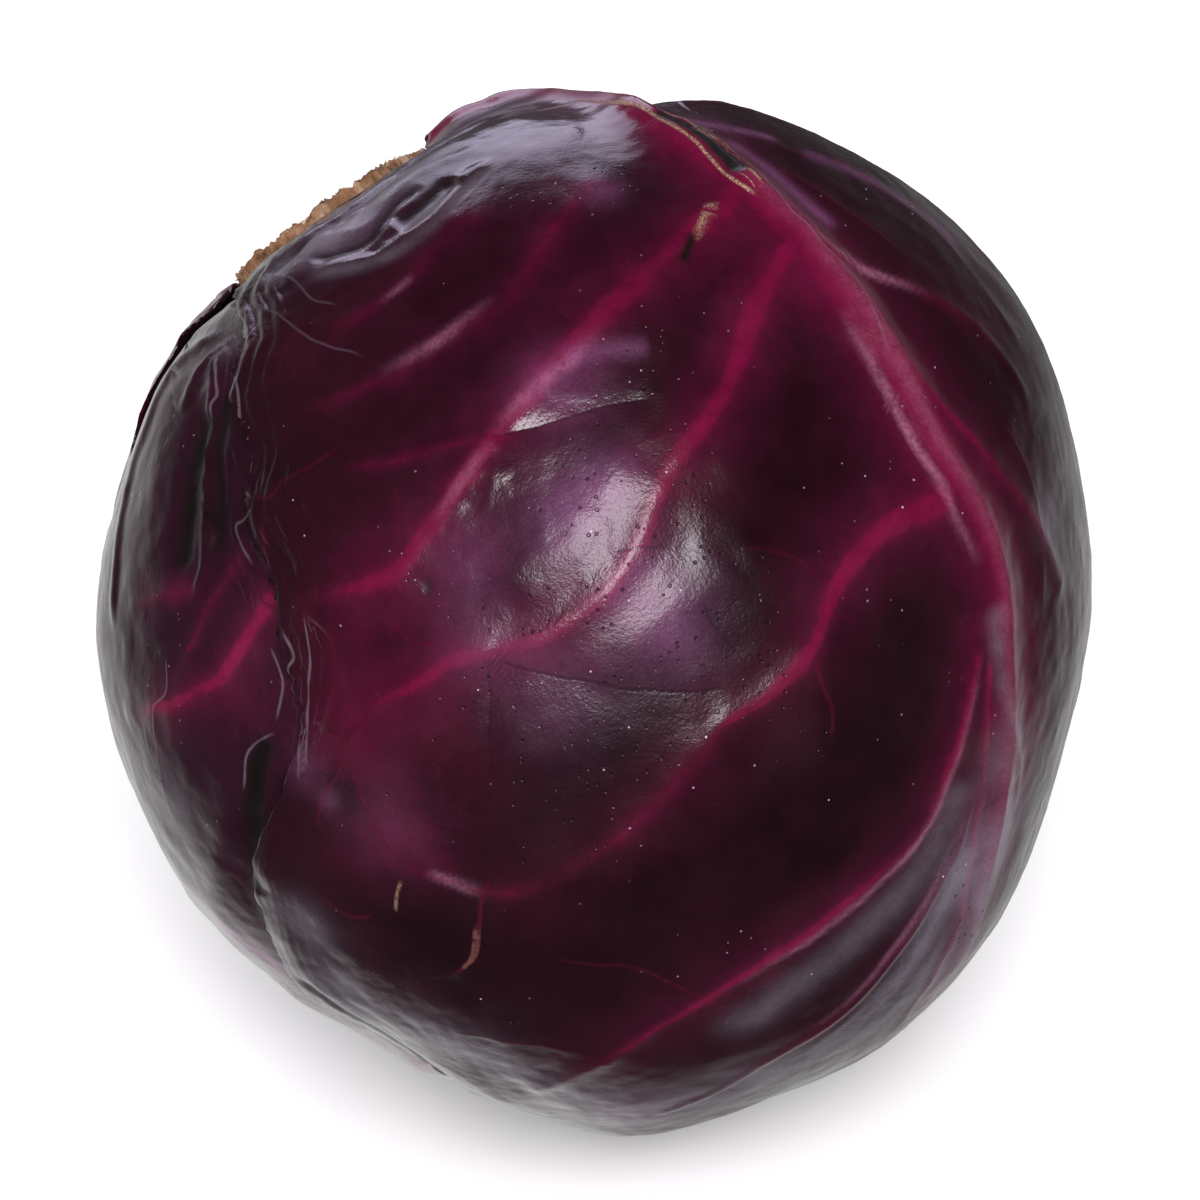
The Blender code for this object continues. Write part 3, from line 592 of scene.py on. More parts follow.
def path_distance(u, path):
    """Distance on the head from unit vectors to a path, positive on its right, and the place
    along it, 0 to 1. Points far from the path get a large distance."""
    middle = path.mean(axis=0)
    middle = middle / np.linalg.norm(middle)
    extent = math.acos(min(1.0, (path @ middle).min())) + FAR_FROM_LINE / HEAD_RADIUS
    near = np.flatnonzero(u @ middle > math.cos(min(extent, math.pi)))
    v = u[near]
    best = np.full(len(v), 9.0)
    place = np.zeros(len(v))
    for i in range(len(path) - 1):
        step = path[i + 1] - path[i]
        across = np.cross(path[i], path[i + 1])
        t = np.clip((v - path[i]) @ step / (step @ step), 0.0, 1.0)
        gap = np.linalg.norm(v - path[i] - t[:, None] * step, axis=1)
        side = np.where(v @ across < 0.0, 1.0, -1.0)
        closer = gap < np.abs(best)
        best = np.where(closer, gap * side, best)
        place = np.where(closer, (i + t) / (len(path) - 1), place)
    distance = np.full(len(u), 9.0)
    along = np.zeros(len(u))
    distance[near] = best * HEAD_RADIUS
    along[near] = place
    return distance, along


def patches(u, kind):
    """Sum of the soft round patches of a kind."""
    total = np.zeros(len(u))
    for x, y, size, amount in PATCHES[kind]:
        centre = photo_direction(((x, y),))[0]
        away = np.linalg.norm(u - centre, axis=1) * HEAD_RADIUS
        total = total + amount * ridge(away, size * METRES_PER_PIXEL)
    return total


def roughen(u, size, octaves=3, seed=0.0):
    """Fractal noise on the head, about -1 to 1, with lumps of the given size in metres."""
    scale = HEAD_RADIUS / size
    offset = Vector((seed, 2.0 * seed, -seed))
    values = [noise.fractal(Vector(p) * scale + offset, 1.0, 2.0, octaves) for p in u]
    return np.array(values)


def along_leaf(distance, turn):
    """Degrees from the chart's centre towards the stem, along the midrib."""
    return distance * np.cos(np.radians(turn))


def rib_taper(distance, turn):
    """Thickness of a midrib along its leaf: full at the stem, a third at the tip."""
    return 0.30 + 0.70 * smooth_step(-70.0, 75.0, along_leaf(distance, turn))


def midrib_distance(distance, turn):
    """Metres from the chart's middle line."""
    return np.radians(distance * np.abs(np.sin(np.radians(turn)))) * HEAD_RADIUS


def midrib_fields(distance, turn, waver):
    """Height, vein colour and painted highlight along the crest of a midrib."""
    taper = rib_taper(distance, turn)
    along = along_leaf(distance, turn)
    across = midrib_distance(distance, turn) * (1.0 + 0.15 * waver)
    end = 1.0 - smooth_step(62.0, 76.0, -along)
    width = MIDRIB_WIDTH * (0.5 + 0.5 * taper)
    height = 0.8 * ridge(across, width) + 0.2 * ridge(across, width * 0.35)
    colour = end * (0.55 + 0.45 * smooth_step(-40.0, 20.0, along)) * ridge(across, width * 0.75)
    rib_highlight = 0.3 * end * ridge(along, 30.0) * ridge(across, width * 0.30)
    return MIDRIB_HEIGHT * taper * end * height, colour, rib_highlight


def side_rib_fields(distance, turn, waver):
    """Side ribs of the leaves that the photograph doesn't show, with finer ribs between them."""
    along = along_leaf(distance, turn)
    across = distance * np.sin(np.radians(turn)) + 1.5 * waver
    lean = along + SIDE_RIB_SLOPE * np.abs(across) - 0.0035 * across ** 2
    half = np.where(across > 0.0, 0.5, 0.0)
    height = np.zeros(len(distance))
    colour = np.zeros(len(distance))
    for share, tall, strong, narrow in SIDE_RIB_ORDERS:
        spacing = SIDE_RIB_SPACING * share
        phase = lean / spacing + half / share
        away = np.abs(phase - np.round(phase)) * spacing
        reach = np.radians(away) * HEAD_RADIUS / math.hypot(1.0, SIDE_RIB_SLOPE)
        start = smooth_step(2.0, 8.0, np.abs(across))
        fade = start * (1.0 - smooth_step(35.0, 70.0, np.abs(across)))
        broad = ridge(reach, SIDE_RIB_WIDTH * (0.4 + 0.6 * share))
        height = height + SIDE_RIB_HEIGHT * tall * fade * broad
        colour = np.maximum(colour, strong * fade * ridge(reach, SIDE_RIB_WIDTH * narrow))
    return height, colour


def swell(u):
    """Shallow swells of the blade, always outwards."""
    wave = np.sin(9.0 * u[:, 0] + 4.0 * u[:, 2]) + np.sin(11.0 * u[:, 2] - 5.0 * u[:, 1] + 1.3)
    return SWELL * (1.0 + 0.5 * wave)


def margin_wave(leaf, distance, turn):
    """Waves that lift the margin of a leaf."""
    height, waves = leaf["wave"]
    near_edge = smooth_step(-11.0, 0.0, distance - margin_reach(leaf, turn))
    near_edge = near_edge * (1.0 - smooth_step(70.0, 80.0, along_leaf(distance, turn)))
    return height * near_edge * (0.5 + 0.5 * np.sin(np.radians(turn) * waves * 0.7 + 0.8))


def stem_folds(u, waver):
    """Wavy folds of the leaf bases round the cut stem, outwards only."""
    colatitude, longitude = head_angles(u)
    near_stem = (1.0 - smooth_step(19.0, 36.0, colatitude)) * smooth_step(12.0, 15.0, colatitude)
    rings = 0.5 + 0.5 * np.sin(colatitude * 0.9 + 2.2 * waver + 1.2 * np.sin(np.radians(longitude) * 3.0))
    pleats = 0.5 + 0.5 * np.sin(np.radians(longitude) * 30.0 + 3.0 * waver)
    return near_stem * (0.60 * rings + 0.18 * pleats)


def strengthen(fields, kind, value):
    """Keeps the larger of what a field holds and a new value, point by point."""
    fields[kind] = np.maximum(fields[kind], value)


def line_fields(name, u, waver):
    """Relief and colour of every line that the photograph shows on a leaf. Creases, which the
    material paints as dark lines of shade, hairline veins, fibres and threads of painted sheen are
    finer than the mesh, so the fields keep the signed distance to the nearest of them, and the
    material draws it."""
    blank = np.zeros(len(u))
    kinds = ("relief", "vein", "glow", "rib_highlight", "dry", "withered_and_shade", "sheen_thread", "cut", "hair", "fibre", "bloom_and_highlight",
             "frost_and_sheen", "matt")
    made = {key: blank for key in kinds}
    made["crease"] = np.full(len(u), CREASE_REACH)
    waver_too = roughen(u, 0.012, 3, 40.0)
    wobble = unit(u + WOBBLE * (waver[:, None] * RIGHT + waver_too[:, None] * STEM))
    vein_height = blank
    lines = LINES.get(name, ())
    if lines:
        lines = lines + BESIDE_MARGIN
    for kind, width, height, strength, *points in lines:
        signed, place = path_distance(wobble, rounded_path(points))
        away = np.abs(signed)
        width = 0.001 * width
        height = 0.001 * height
        ends = smooth_step(0.0, 0.10, place) * (1.0 - smooth_step(0.88, 1.0, place))
        if kind == "vein":
            taper = 1.0 - 0.45 * place
            body = width * taper * (1.0 + 0.25 * waver_too)
            rise = 0.8 * ridge(away, body * 1.5) + 0.2 * ridge(away, body * 0.6)
            flow = strength * (0.75 + 0.25 * taper) * (0.8 + 0.4 * waver)
            flow = flow * (1.0 - 0.8 * smooth_step(0.80, 1.0, place))
            vein_height = np.maximum(vein_height, 0.6 * height * taper * rise)
            strengthen(made, "vein", flow * ridge(away, body * 0.75))
            strengthen(made, "glow", flow * taper * ridge(away, 2.6 * width))
        # Cut lines are creases, which the material paints as thin dark lines of shade
        elif kind in ("cut", "hair", "fibre", "sheen_thread"):
            made["crease"] = np.where(away < np.abs(made["crease"]), signed, made["crease"])
            strengthen(made, kind, strength * ends * ridge(away, FINE_LINE_WIDTH))
            made["relief"] = made["relief"] + height * ends * np.exp(-away / KINK_WIDTH)
        # Bloom and frost lines are films of wax that also paint highlights, reflections and sheen
        elif kind in ("bloom_and_highlight", "frost_and_sheen", "matt"):
            strengthen(made, kind, strength * ends * ridge(away, width))
        # Sheen lines are painted highlights along the crests of ribs
        elif kind == "sheen":
            swept = np.sin(math.pi * place) * (0.9 + 0.4 * waver_too)
            strengthen(made, "rib_highlight", strength * swept * ridge(away, width))
        elif kind == "fold":
            made["relief"] = made["relief"] + height * ends * ridge(away, width)
        # Hollows and black lines sink the relief and are painted near black: painted shade in the hollows
        # and the gaps between leaves, and the withered margin's own colour
        elif kind in ("hollow", "withered_and_shade"):
            made["relief"] = made["relief"] - height * ends * ridge(away, width)
            strengthen(made, "withered_and_shade", strength * ends * ridge(away, 0.8 * width))
        elif kind == "scar":
            made["relief"] = made["relief"] + height * ridge(away, width)
            strengthen(made, "dry", strength * ridge(away, 0.8 * width))
    made["relief"] = made["relief"] + vein_height
    return made


def margin_place(u):
    """Metres outside the front leaf's margin, and along it, for patterns that run beside it."""
    distance, turn = direction_to_chart(LEAVES[0], u)
    across = np.radians(distance - margin_reach(LEAVES[0], turn)) * HEAD_RADIUS
    return np.clip(across, -0.05, 0.05), np.radians(turn) * HEAD_RADIUS


def leaf_fields(leaf, u, distance, turn, waver):
    """Ribs, folds, marks and colour of a leaf."""
    fields = line_fields(leaf["name"], u, waver)
    height, vein, rib_highlight = midrib_fields(distance, turn, waver)
    fields["relief"] = fields["relief"] + height
    if leaf is LEAVES[0]:
        strengthen(fields, "glow", 0.9 * ridge(midrib_distance(distance, turn), 0.010))
    unseen = 1.0
    if leaf["name"] == "leaf_left":
        unseen = smooth_step(-20.0, 10.0, turn_from_view(u))
        vein = vein * unseen
    elif leaf is LEAVES[0]:
        unseen = smooth_step(3.0, 22.0, turn_from_view(u))
    side_height, side_colour = side_rib_fields(distance, turn, waver)
    fields["relief"] = fields["relief"] + side_height * unseen
    vein = np.maximum(vein, side_colour * unseen)
    if leaf is not LEAVES[0]:
        strengthen(fields, "glow", 0.5 * vein)
    strengthen(fields, "vein", vein)
    strengthen(fields, "rib_highlight", rib_highlight)
    strip, _ = path_distance(u, rounded_path(PLEATED_STRIP))
    pleated = ridge(strip, PLEATED_WIDTH) * (0.1 + 0.9 * smooth_step(-0.45, -0.05, u[:, 2]))
    across, along = margin_place(u)
    ripples = 0.5 + 0.5 * np.sin(across * 2300.0 + 5.0 * waver + along * 150.0)
    bases = stem_folds(u, waver)
    fields["relief"] = fields["relief"] + PLEAT_HEIGHT * pleated * ripples + STEM_FOLD_HEIGHT * bases
    fields["pleated"] = np.maximum(pleated, (bases > 0.0) * 0.5 * bases)
    fields["across"] = across
    fields["along"] = along
    for kind in PATCHES:
        fields[kind] = fields.get(kind, 0.0) + patches(u, kind)
    unseen = smooth_step(-15.0, 25.0, turn_from_view(u))
    fields["tone_and_shade"] = fields["tone_and_shade"] + 0.5 * waver * unseen
    fields["bloom_and_highlight"] = fields["bloom_and_highlight"] + 0.5 * unseen * np.clip(waver + 0.3, 0.0, 1.0)
    fields["grain"] = fields["grain"] + 0.5 * np.clip(2.0 * waver, 0.0, 1.0)
    return fields


def turn_from_view(u):
    """Degrees past the outline, away from the viewer, negative on the side that is seen."""
    return np.degrees(np.arcsin(np.clip(u[:, 1], -1.0, 1.0)))


def leaf_surface(leaf, distance, turn, fine):
    """Points of a leaf's outer face in the front frame, its blade's depth there, and its fields."""
    u = chart_to_direction(leaf, distance, turn)
    waver = roughen(u, 0.016, 3, LEAVES.index(leaf) * 3.1)
    fields = leaf_fields(leaf, u, distance, turn, waver)
    relief = fields["relief"] + swell(u) + margin_wave(leaf, distance, turn)
    relief = relief + UNEVENNESS * roughen(u, 0.007, 2, 7.0)
    if fine:
        relief = relief + FINE_UNEVENNESS * roughen(u, 0.0018, 2, 11.0)
    from_spot = angle(u @ DOWN)
    spot = math.degrees(RESTING_RADIUS / HEAD_RADIUS)
    off_spot = smooth_step(spot + 1.0, spot + 12.0, from_spot)
    above = LEAVES[:LEAVES.index(leaf)]
    near_edge = smooth_step(-5.0, 0.0, distance - margin_reach(leaf, turn))
    radius = outside_radius(u) - layer_depth(above, u) + relief * off_spot * exposure(above, u)
    radius = radius - MARGIN_DIP * near_edge * off_spot
    depth = LEAF_THICKNESS - MARGIN_THINNING * near_edge
    return u, radius, depth, fields


def front_to_world():
    """Turns the front frame into the resting pose, with the resting spot at the origin."""
    lean = Matrix.Rotation(-math.radians(LEAN_BACK), 4, "X")
    return Matrix.Translation((0.0, 0.0, RESTING_HEIGHT)) @ lean


POSE = np.array(front_to_world())


def to_world(points):
    """Carries points of the front frame to the resting pose."""
    return points @ POSE[:3, :3].T + POSE[:3, 3]


def to_box(points):
    """Carries points of the head to the resting pose and keeps them on the floor and in the box."""
    return np.clip(to_world(points), CAD_BOX[0], CAD_BOX[1])


def square_to_disc(flat):
    """Carries a square of -1 to 1 onto a disc: share of the radius and turn in degrees."""
    x = flat[:, 0] * np.sqrt(1.0 - 0.5 * flat[:, 1] ** 2)
    y = flat[:, 1] * np.sqrt(1.0 - 0.5 * flat[:, 0] ** 2)
    return np.hypot(x, y), np.degrees(np.arctan2(x, y))


def place(verts, points):
    """Moves bmesh vertices to world points."""
    for vertex, point in zip(verts, points):
        vertex.co = point


def add_object(name, data):
    """Puts an object with the given data in the scene."""
    made = bpy.data.objects.new(name, data)
    bpy.context.scene.collection.objects.link(made)
    return made


def mesh_data(name, mesh, material):
    """Turns a bmesh into mesh data with one material."""
    data = bpy.data.meshes.new(name)
    mesh.to_mesh(data)
    mesh.free()
    data.materials.append(material)
    return data


def store_fields(verts, layers, fields):
    """Writes the fields into the vertices and leaves at zero those that aren't given."""
    for layer, name in zip(layers, FIELDS):
        for vertex, value in zip(verts, fields.get(name, ())):
            vertex[layer] = value


def finish_mesh(name, mesh, material, node):
    """Makes an object of a bmesh, dresses it and lets it stand for a node of the frame."""
    data = mesh_data(name, mesh, material)
    data.shade_smooth()
    piece = add_object(name, data)
    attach(piece, "root")
    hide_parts(node)
    return piece


FIELDS = ("vein", "glow", "rib_highlight", "dry", "withered_and_shade", "sheen_thread", "cut", "hair", "fibre", "crease",
          "pleated", "across", "along", "tone_and_shade", "bloom_and_highlight", "frost_and_sheen", "matt", "grain")


def make_leaf(leaf, material):
    """One wrapper leaf: a fine outer grid, a plainer inner one, and the margin between them."""
    cells = int(leaf["cells"] * (1.0)) // OUTER_TO_INNER * OUTER_TO_INNER
    mesh = bmesh.new()
    layers = [mesh.verts.layers.float.new(name) for name in FIELDS]
    outer = bmesh.ops.create_grid(mesh, x_segments=cells, y_segments=cells, size=1.0)["verts"]
    inner_cells = cells // OUTER_TO_INNER
    inner = bmesh.ops.create_grid(mesh, x_segments=inner_cells, y_segments=inner_cells, size=1.0)["verts"]
    inner_faces = [face for face in mesh.faces if face.verts[0] in set(inner)]
    flat = np.array([v.co for v in outer], dtype=float)
    flat[:, 0] = flat[:, 0] - LEFT_FINENESS * (1.0 - flat[:, 0] ** 2)
    share, turn = square_to_disc(flat)
    reach = margin_reach(leaf, turn) + margin_nibble(leaf, turn) * smooth_step(0.9, 1.0, share)
    u, radius, _, fields = leaf_surface(leaf, share * reach, turn, True)
    place(outer, to_box(u * radius[:, None]))
    store_fields(outer, layers, fields)
    share, turn = square_to_disc(np.array([v.co for v in inner], dtype=float))
    reach = margin_reach(leaf, turn) - INNER_FACE_SHORTFALL
    u, radius, depth, _ = leaf_surface(leaf, share * reach, turn, False)
    place(inner, to_world(u * (radius - depth)[:, None]))
    bmesh.ops.reverse_faces(mesh, faces=inner_faces)
    bmesh.ops.bridge_loops(mesh, edges=[edge for edge in mesh.edges if edge.is_boundary])
    bmesh.ops.recalc_face_normals(mesh, faces=mesh.faces[:])
    return finish_mesh("fine_" + leaf["name"], mesh, material, leaf["name"])


def make_heart(material):
    """The tight heart, with the inner leaves that stand out of it at the crown."""
    subdivisions = HEART_SUBDIVISIONS - 0
    mesh = bmesh.new()
    layers = [mesh.verts.layers.float.new(name) for name in FIELDS]
    bmesh.ops.create_icosphere(mesh, subdivisions=subdivisions, radius=1.0)
    verts = mesh.verts[:]
    u = np.array([v.co.normalized() for v in verts], dtype=float)
    waver = roughen(u, 0.014, 3, 21.0)
    radius = outside_radius(u) - layer_depth(LEAVES, u)
    raised = np.zeros(len(u))
    vein = np.zeros(len(u))
    for colatitude, longitude, reach in HEART_LEAVES:
        centre = direction(np.array([colatitude]), np.array([longitude]))[0]
        away = angle(u @ centre) + 1.5 * waver
        raised = raised + HEART_STEP / 3.0 * (1.0 - smooth_step(reach - 2.0, reach, away))
        _, around = head_angles(u)
        fan = np.abs(np.sin(np.radians(around - longitude) * 9.0 + 0.6 * waver))
        vein = np.maximum(vein, ridge(fan, 0.18) * (away < reach))
    radius = radius - HEART_STEP + raised + 0.0002 * vein * exposure(LEAVES, u)
    radius = np.minimum(radius, SEAT_HEIGHT / np.maximum(u @ STEM, 0.2))
    place(verts, to_world(u * radius[:, None]))
    store_fields(verts, layers, {"vein": 0.5 * vein, "tone_and_shade": 0.4 + 0.3 * waver, "glow": 0.3 * vein})
    return finish_mesh("fine_heart", mesh, material, "heart_leaves")


def stem_height(share, t):
    """Height of the cut face at shares of the stem's radius and turns in radians."""
    flat = [(s * math.cos(a), s * math.sin(a)) for s, a in zip(share, t)]
    coarse = np.array([noise.fractal(Vector((6.0 * x, 6.0 * y, 3.0)), 1.0, 2.0, 4) for x, y in flat])
    torn = np.array([noise.fractal(Vector((19.0 * x, 19.0 * y, 8.0)), 1.0, 2.0, 3) for x, y in flat])
    rings = np.sin(share * 26.0 + 2.0 * coarse)
    rim = ridge(share - 0.88, 0.10)
    height = STEM_TOP * HEAD_RADIUS - 0.0004 + 0.0010 * coarse * (0.5 + rim) + 0.00045 * torn
    return height + 0.0002 * rings - 0.0006 * share ** 6


def make_stem(material):
    """The cut stem: a fibrous domed face with a worn rim, and loose fibres torn by the knife."""
    cells = STEM_SQUARES
    low = SEAT_HEIGHT + SEAT_GAP
    mesh = bmesh.new()
    bmesh.ops.create_grid(mesh, x_segments=cells, y_segments=cells, size=1.0)
    out = mesh.verts.layers.float.new("out")
    share, turn = square_to_disc(np.array([v.co for v in mesh.verts], dtype=float))
    t = np.radians(turn)
    height = stem_height(share, t)
    lobes = 0.025 * np.sin(5.0 * t) * share + 0.012 * np.sin(11.0 * t + 1.0) * share
    wide = STEM_RADIUS * share * (1.0 + lobes)
    for vertex, a, r, z in zip(mesh.verts, t, wide, height):
        vertex.co = (r * math.cos(a), r * math.sin(a), z)
    for step in range(STEM_WALL_STEPS):
        rim_edges = [edge for edge in mesh.edges if edge.is_boundary]
        fresh = bmesh.ops.extrude_edge_only(mesh, edges=rim_edges)["geom"]
        drop = (step + 1.0) / STEM_WALL_STEPS
        for vertex in (v for v in fresh if isinstance(v, bmesh.types.BMVert)):
            a = math.atan2(vertex.co.y, vertex.co.x)
            groove = 0.00018 * math.sin(57.0 * a) + 0.00012 * math.sin(91.0 * a + 4.0 * drop)
            flat = math.hypot(vertex.co.x, vertex.co.y)
            vertex.co.x *= 1.0 + groove / flat
            vertex.co.y *= 1.0 + groove / flat
            vertex.co.z += (low - vertex.co.z) / (STEM_WALL_STEPS - step)
    bmesh.ops.contextual_create(mesh, geom=[edge for edge in mesh.edges if edge.is_boundary])
    bmesh.ops.recalc_face_normals(mesh, faces=mesh.faces[:])
    add_fibres(mesh)
    local = np.array([v.co for v in mesh.verts], dtype=float)
    for vertex, x, y in zip(mesh.verts, local[:, 0], local[:, 1]):
        vertex[out] = math.hypot(x, y) / STEM_RADIUS
    points = local[:, :1] * NEAR + local[:, 1:2] * RIGHT + local[:, 2:] * STEM
    place(mesh.verts, to_world(points))
    return finish_mesh("fine_cut_stem", mesh, material, "cut_stem")


def add_fibres(mesh):
    """Torn fibres that lie over the cut face and stand up round its rim."""
    draw = np.random.default_rng(FIBRE_SEED)
    for _ in range(FIBRES):
        turn = draw.uniform(0.0, 2.0 * math.pi)
        share = math.sqrt(draw.uniform(0.35, 0.95))
        out = STEM_RADIUS * share
        length = draw.uniform(0.0005, 0.0014)
        lean = draw.uniform(1.1, 1.7)
        way = turn + draw.uniform(-1.6, 1.6)
        size = draw.uniform(0.00008, 0.00022)
        height = stem_height(np.array([share]), np.array([turn]))[0] - 0.0002
        base = Vector((out * math.cos(turn), out * math.sin(turn), height))
        axis = Vector((math.sin(lean) * math.cos(way), math.sin(lean) * math.sin(way), math.cos(lean)))
        turned = axis.to_track_quat("Z", "Y").to_matrix().to_4x4()
        where = Matrix.Translation(base + axis * 0.5 * length) @ turned
        bmesh.ops.create_cone(mesh, cap_ends=True, segments=4, radius1=size, radius2=size * 0.35,
                              depth=length, matrix=where)


def colour(code):
    """Linear colour of an sRGB hex code."""
    parts = [int(code[i:i + 2], 16) / 255.0 for i in (1, 3, 5)]
    return tuple(c / 12.92 if c <= 0.04045 else ((c + 0.055) / 1.055) ** 2.4 for c in parts) + (1.0,)


def add(tree, kind, inputs=None, **settings):
    """Adds a node, sets its settings, and fills its inputs with values or with other sockets."""
    made = tree.nodes.new(kind)
    for key, value in settings.items():
        setattr(made, key, value)
    for key, value in (inputs or {}).items():
        if isinstance(value, bpy.types.NodeSocket):
            tree.links.new(value, made.inputs[key])
        else:
            made.inputs[key].default_value = value
    return made


def new_material(name, values):
    """A material, its tree, and its shader with plain values for some of the inputs."""
    material = bpy.data.materials.new(name)
    material.use_nodes = True
    shader = material.node_tree.nodes["Principled BSDF"]
    for key, value in values.items():
        shader.inputs[key].default_value = value
    return material, material.node_tree, shader


def math_node(tree, operation, a, b=0.0, clamp=False):
    """A value worked out from two others."""
    return add(tree, "ShaderNodeMath", {0: a, 1: b}, operation=operation, use_clamp=clamp).outputs[0]


def product(tree, *values):
    """All the values multiplied together."""
    result = values[0]
    for value in values[1:]:
        result = math_node(tree, "MULTIPLY", result, value)
    return result


def capped_product(tree, a, b):
    """Two values multiplied together and held between 0 and 1."""
    return math_node(tree, "MULTIPLY", a, b, True)


def total(tree, *values):
    """All the values added together."""
    result = values[0]
    for value in values[1:]:
        result = math_node(tree, "ADD", result, value)
    return result


def span(tree, value, low, high, first=0.0, last=1.0):
    """Carries low to first and high to last, smoothly, and holds them outside."""
    made = add(tree, "ShaderNodeMapRange", {"Value": value, 1: low, 2: high, 3: first, 4: last},
               interpolation_type="SMOOTHSTEP")
    return made.outputs[0]


def blend(tree, amount, first, second):
    """Mixes two colours."""
    made = add(tree, "ShaderNodeMix", {0: amount, 6: first, 7: second}, data_type="RGBA")
    return made.outputs[2]


def ramp(tree, value, stops):
    """A colour ramp of (place, colour) stops."""
    made = add(tree, "ShaderNodeValToRGB", {0: value})
    while len(made.color_ramp.elements) < len(stops):
        made.color_ramp.elements.new(0.5)
    for element, (spot, tint) in zip(made.color_ramp.elements, stops):
        element.position = spot
        element.color = tint
    return made.outputs[0]


def per_metre(millimetres):
    """Texture scale that gives lumps of a size in millimetres."""
    return 1000.0 / millimetres


def lumps(tree, vector, size, detail=3.0, rough=0.55):
    """Noise with lumps of a size in millimetres."""
    made = add(tree, "ShaderNodeTexNoise", {"Vector": vector, "Scale": per_metre(size), "Detail": detail,
                                            "Roughness": rough})
    return made.outputs["Fac"]


def dots(tree, vector, spacing, size, share):
    """Round dots: their spacing and radius in millimetres and the share of them that shows."""
    cells = add(tree, "ShaderNodeTexVoronoi", {"Vector": vector, "Scale": per_metre(spacing)})
    round_dot = span(tree, cells.outputs["Distance"], 0.6 * size / spacing, 1.2 * size / spacing, 1.0, 0.0)
    chance = add(tree, "ShaderNodeSeparateColor", {0: cells.outputs["Color"]}).outputs[0]
    return product(tree, round_dot, math_node(tree, "LESS_THAN", chance, share))


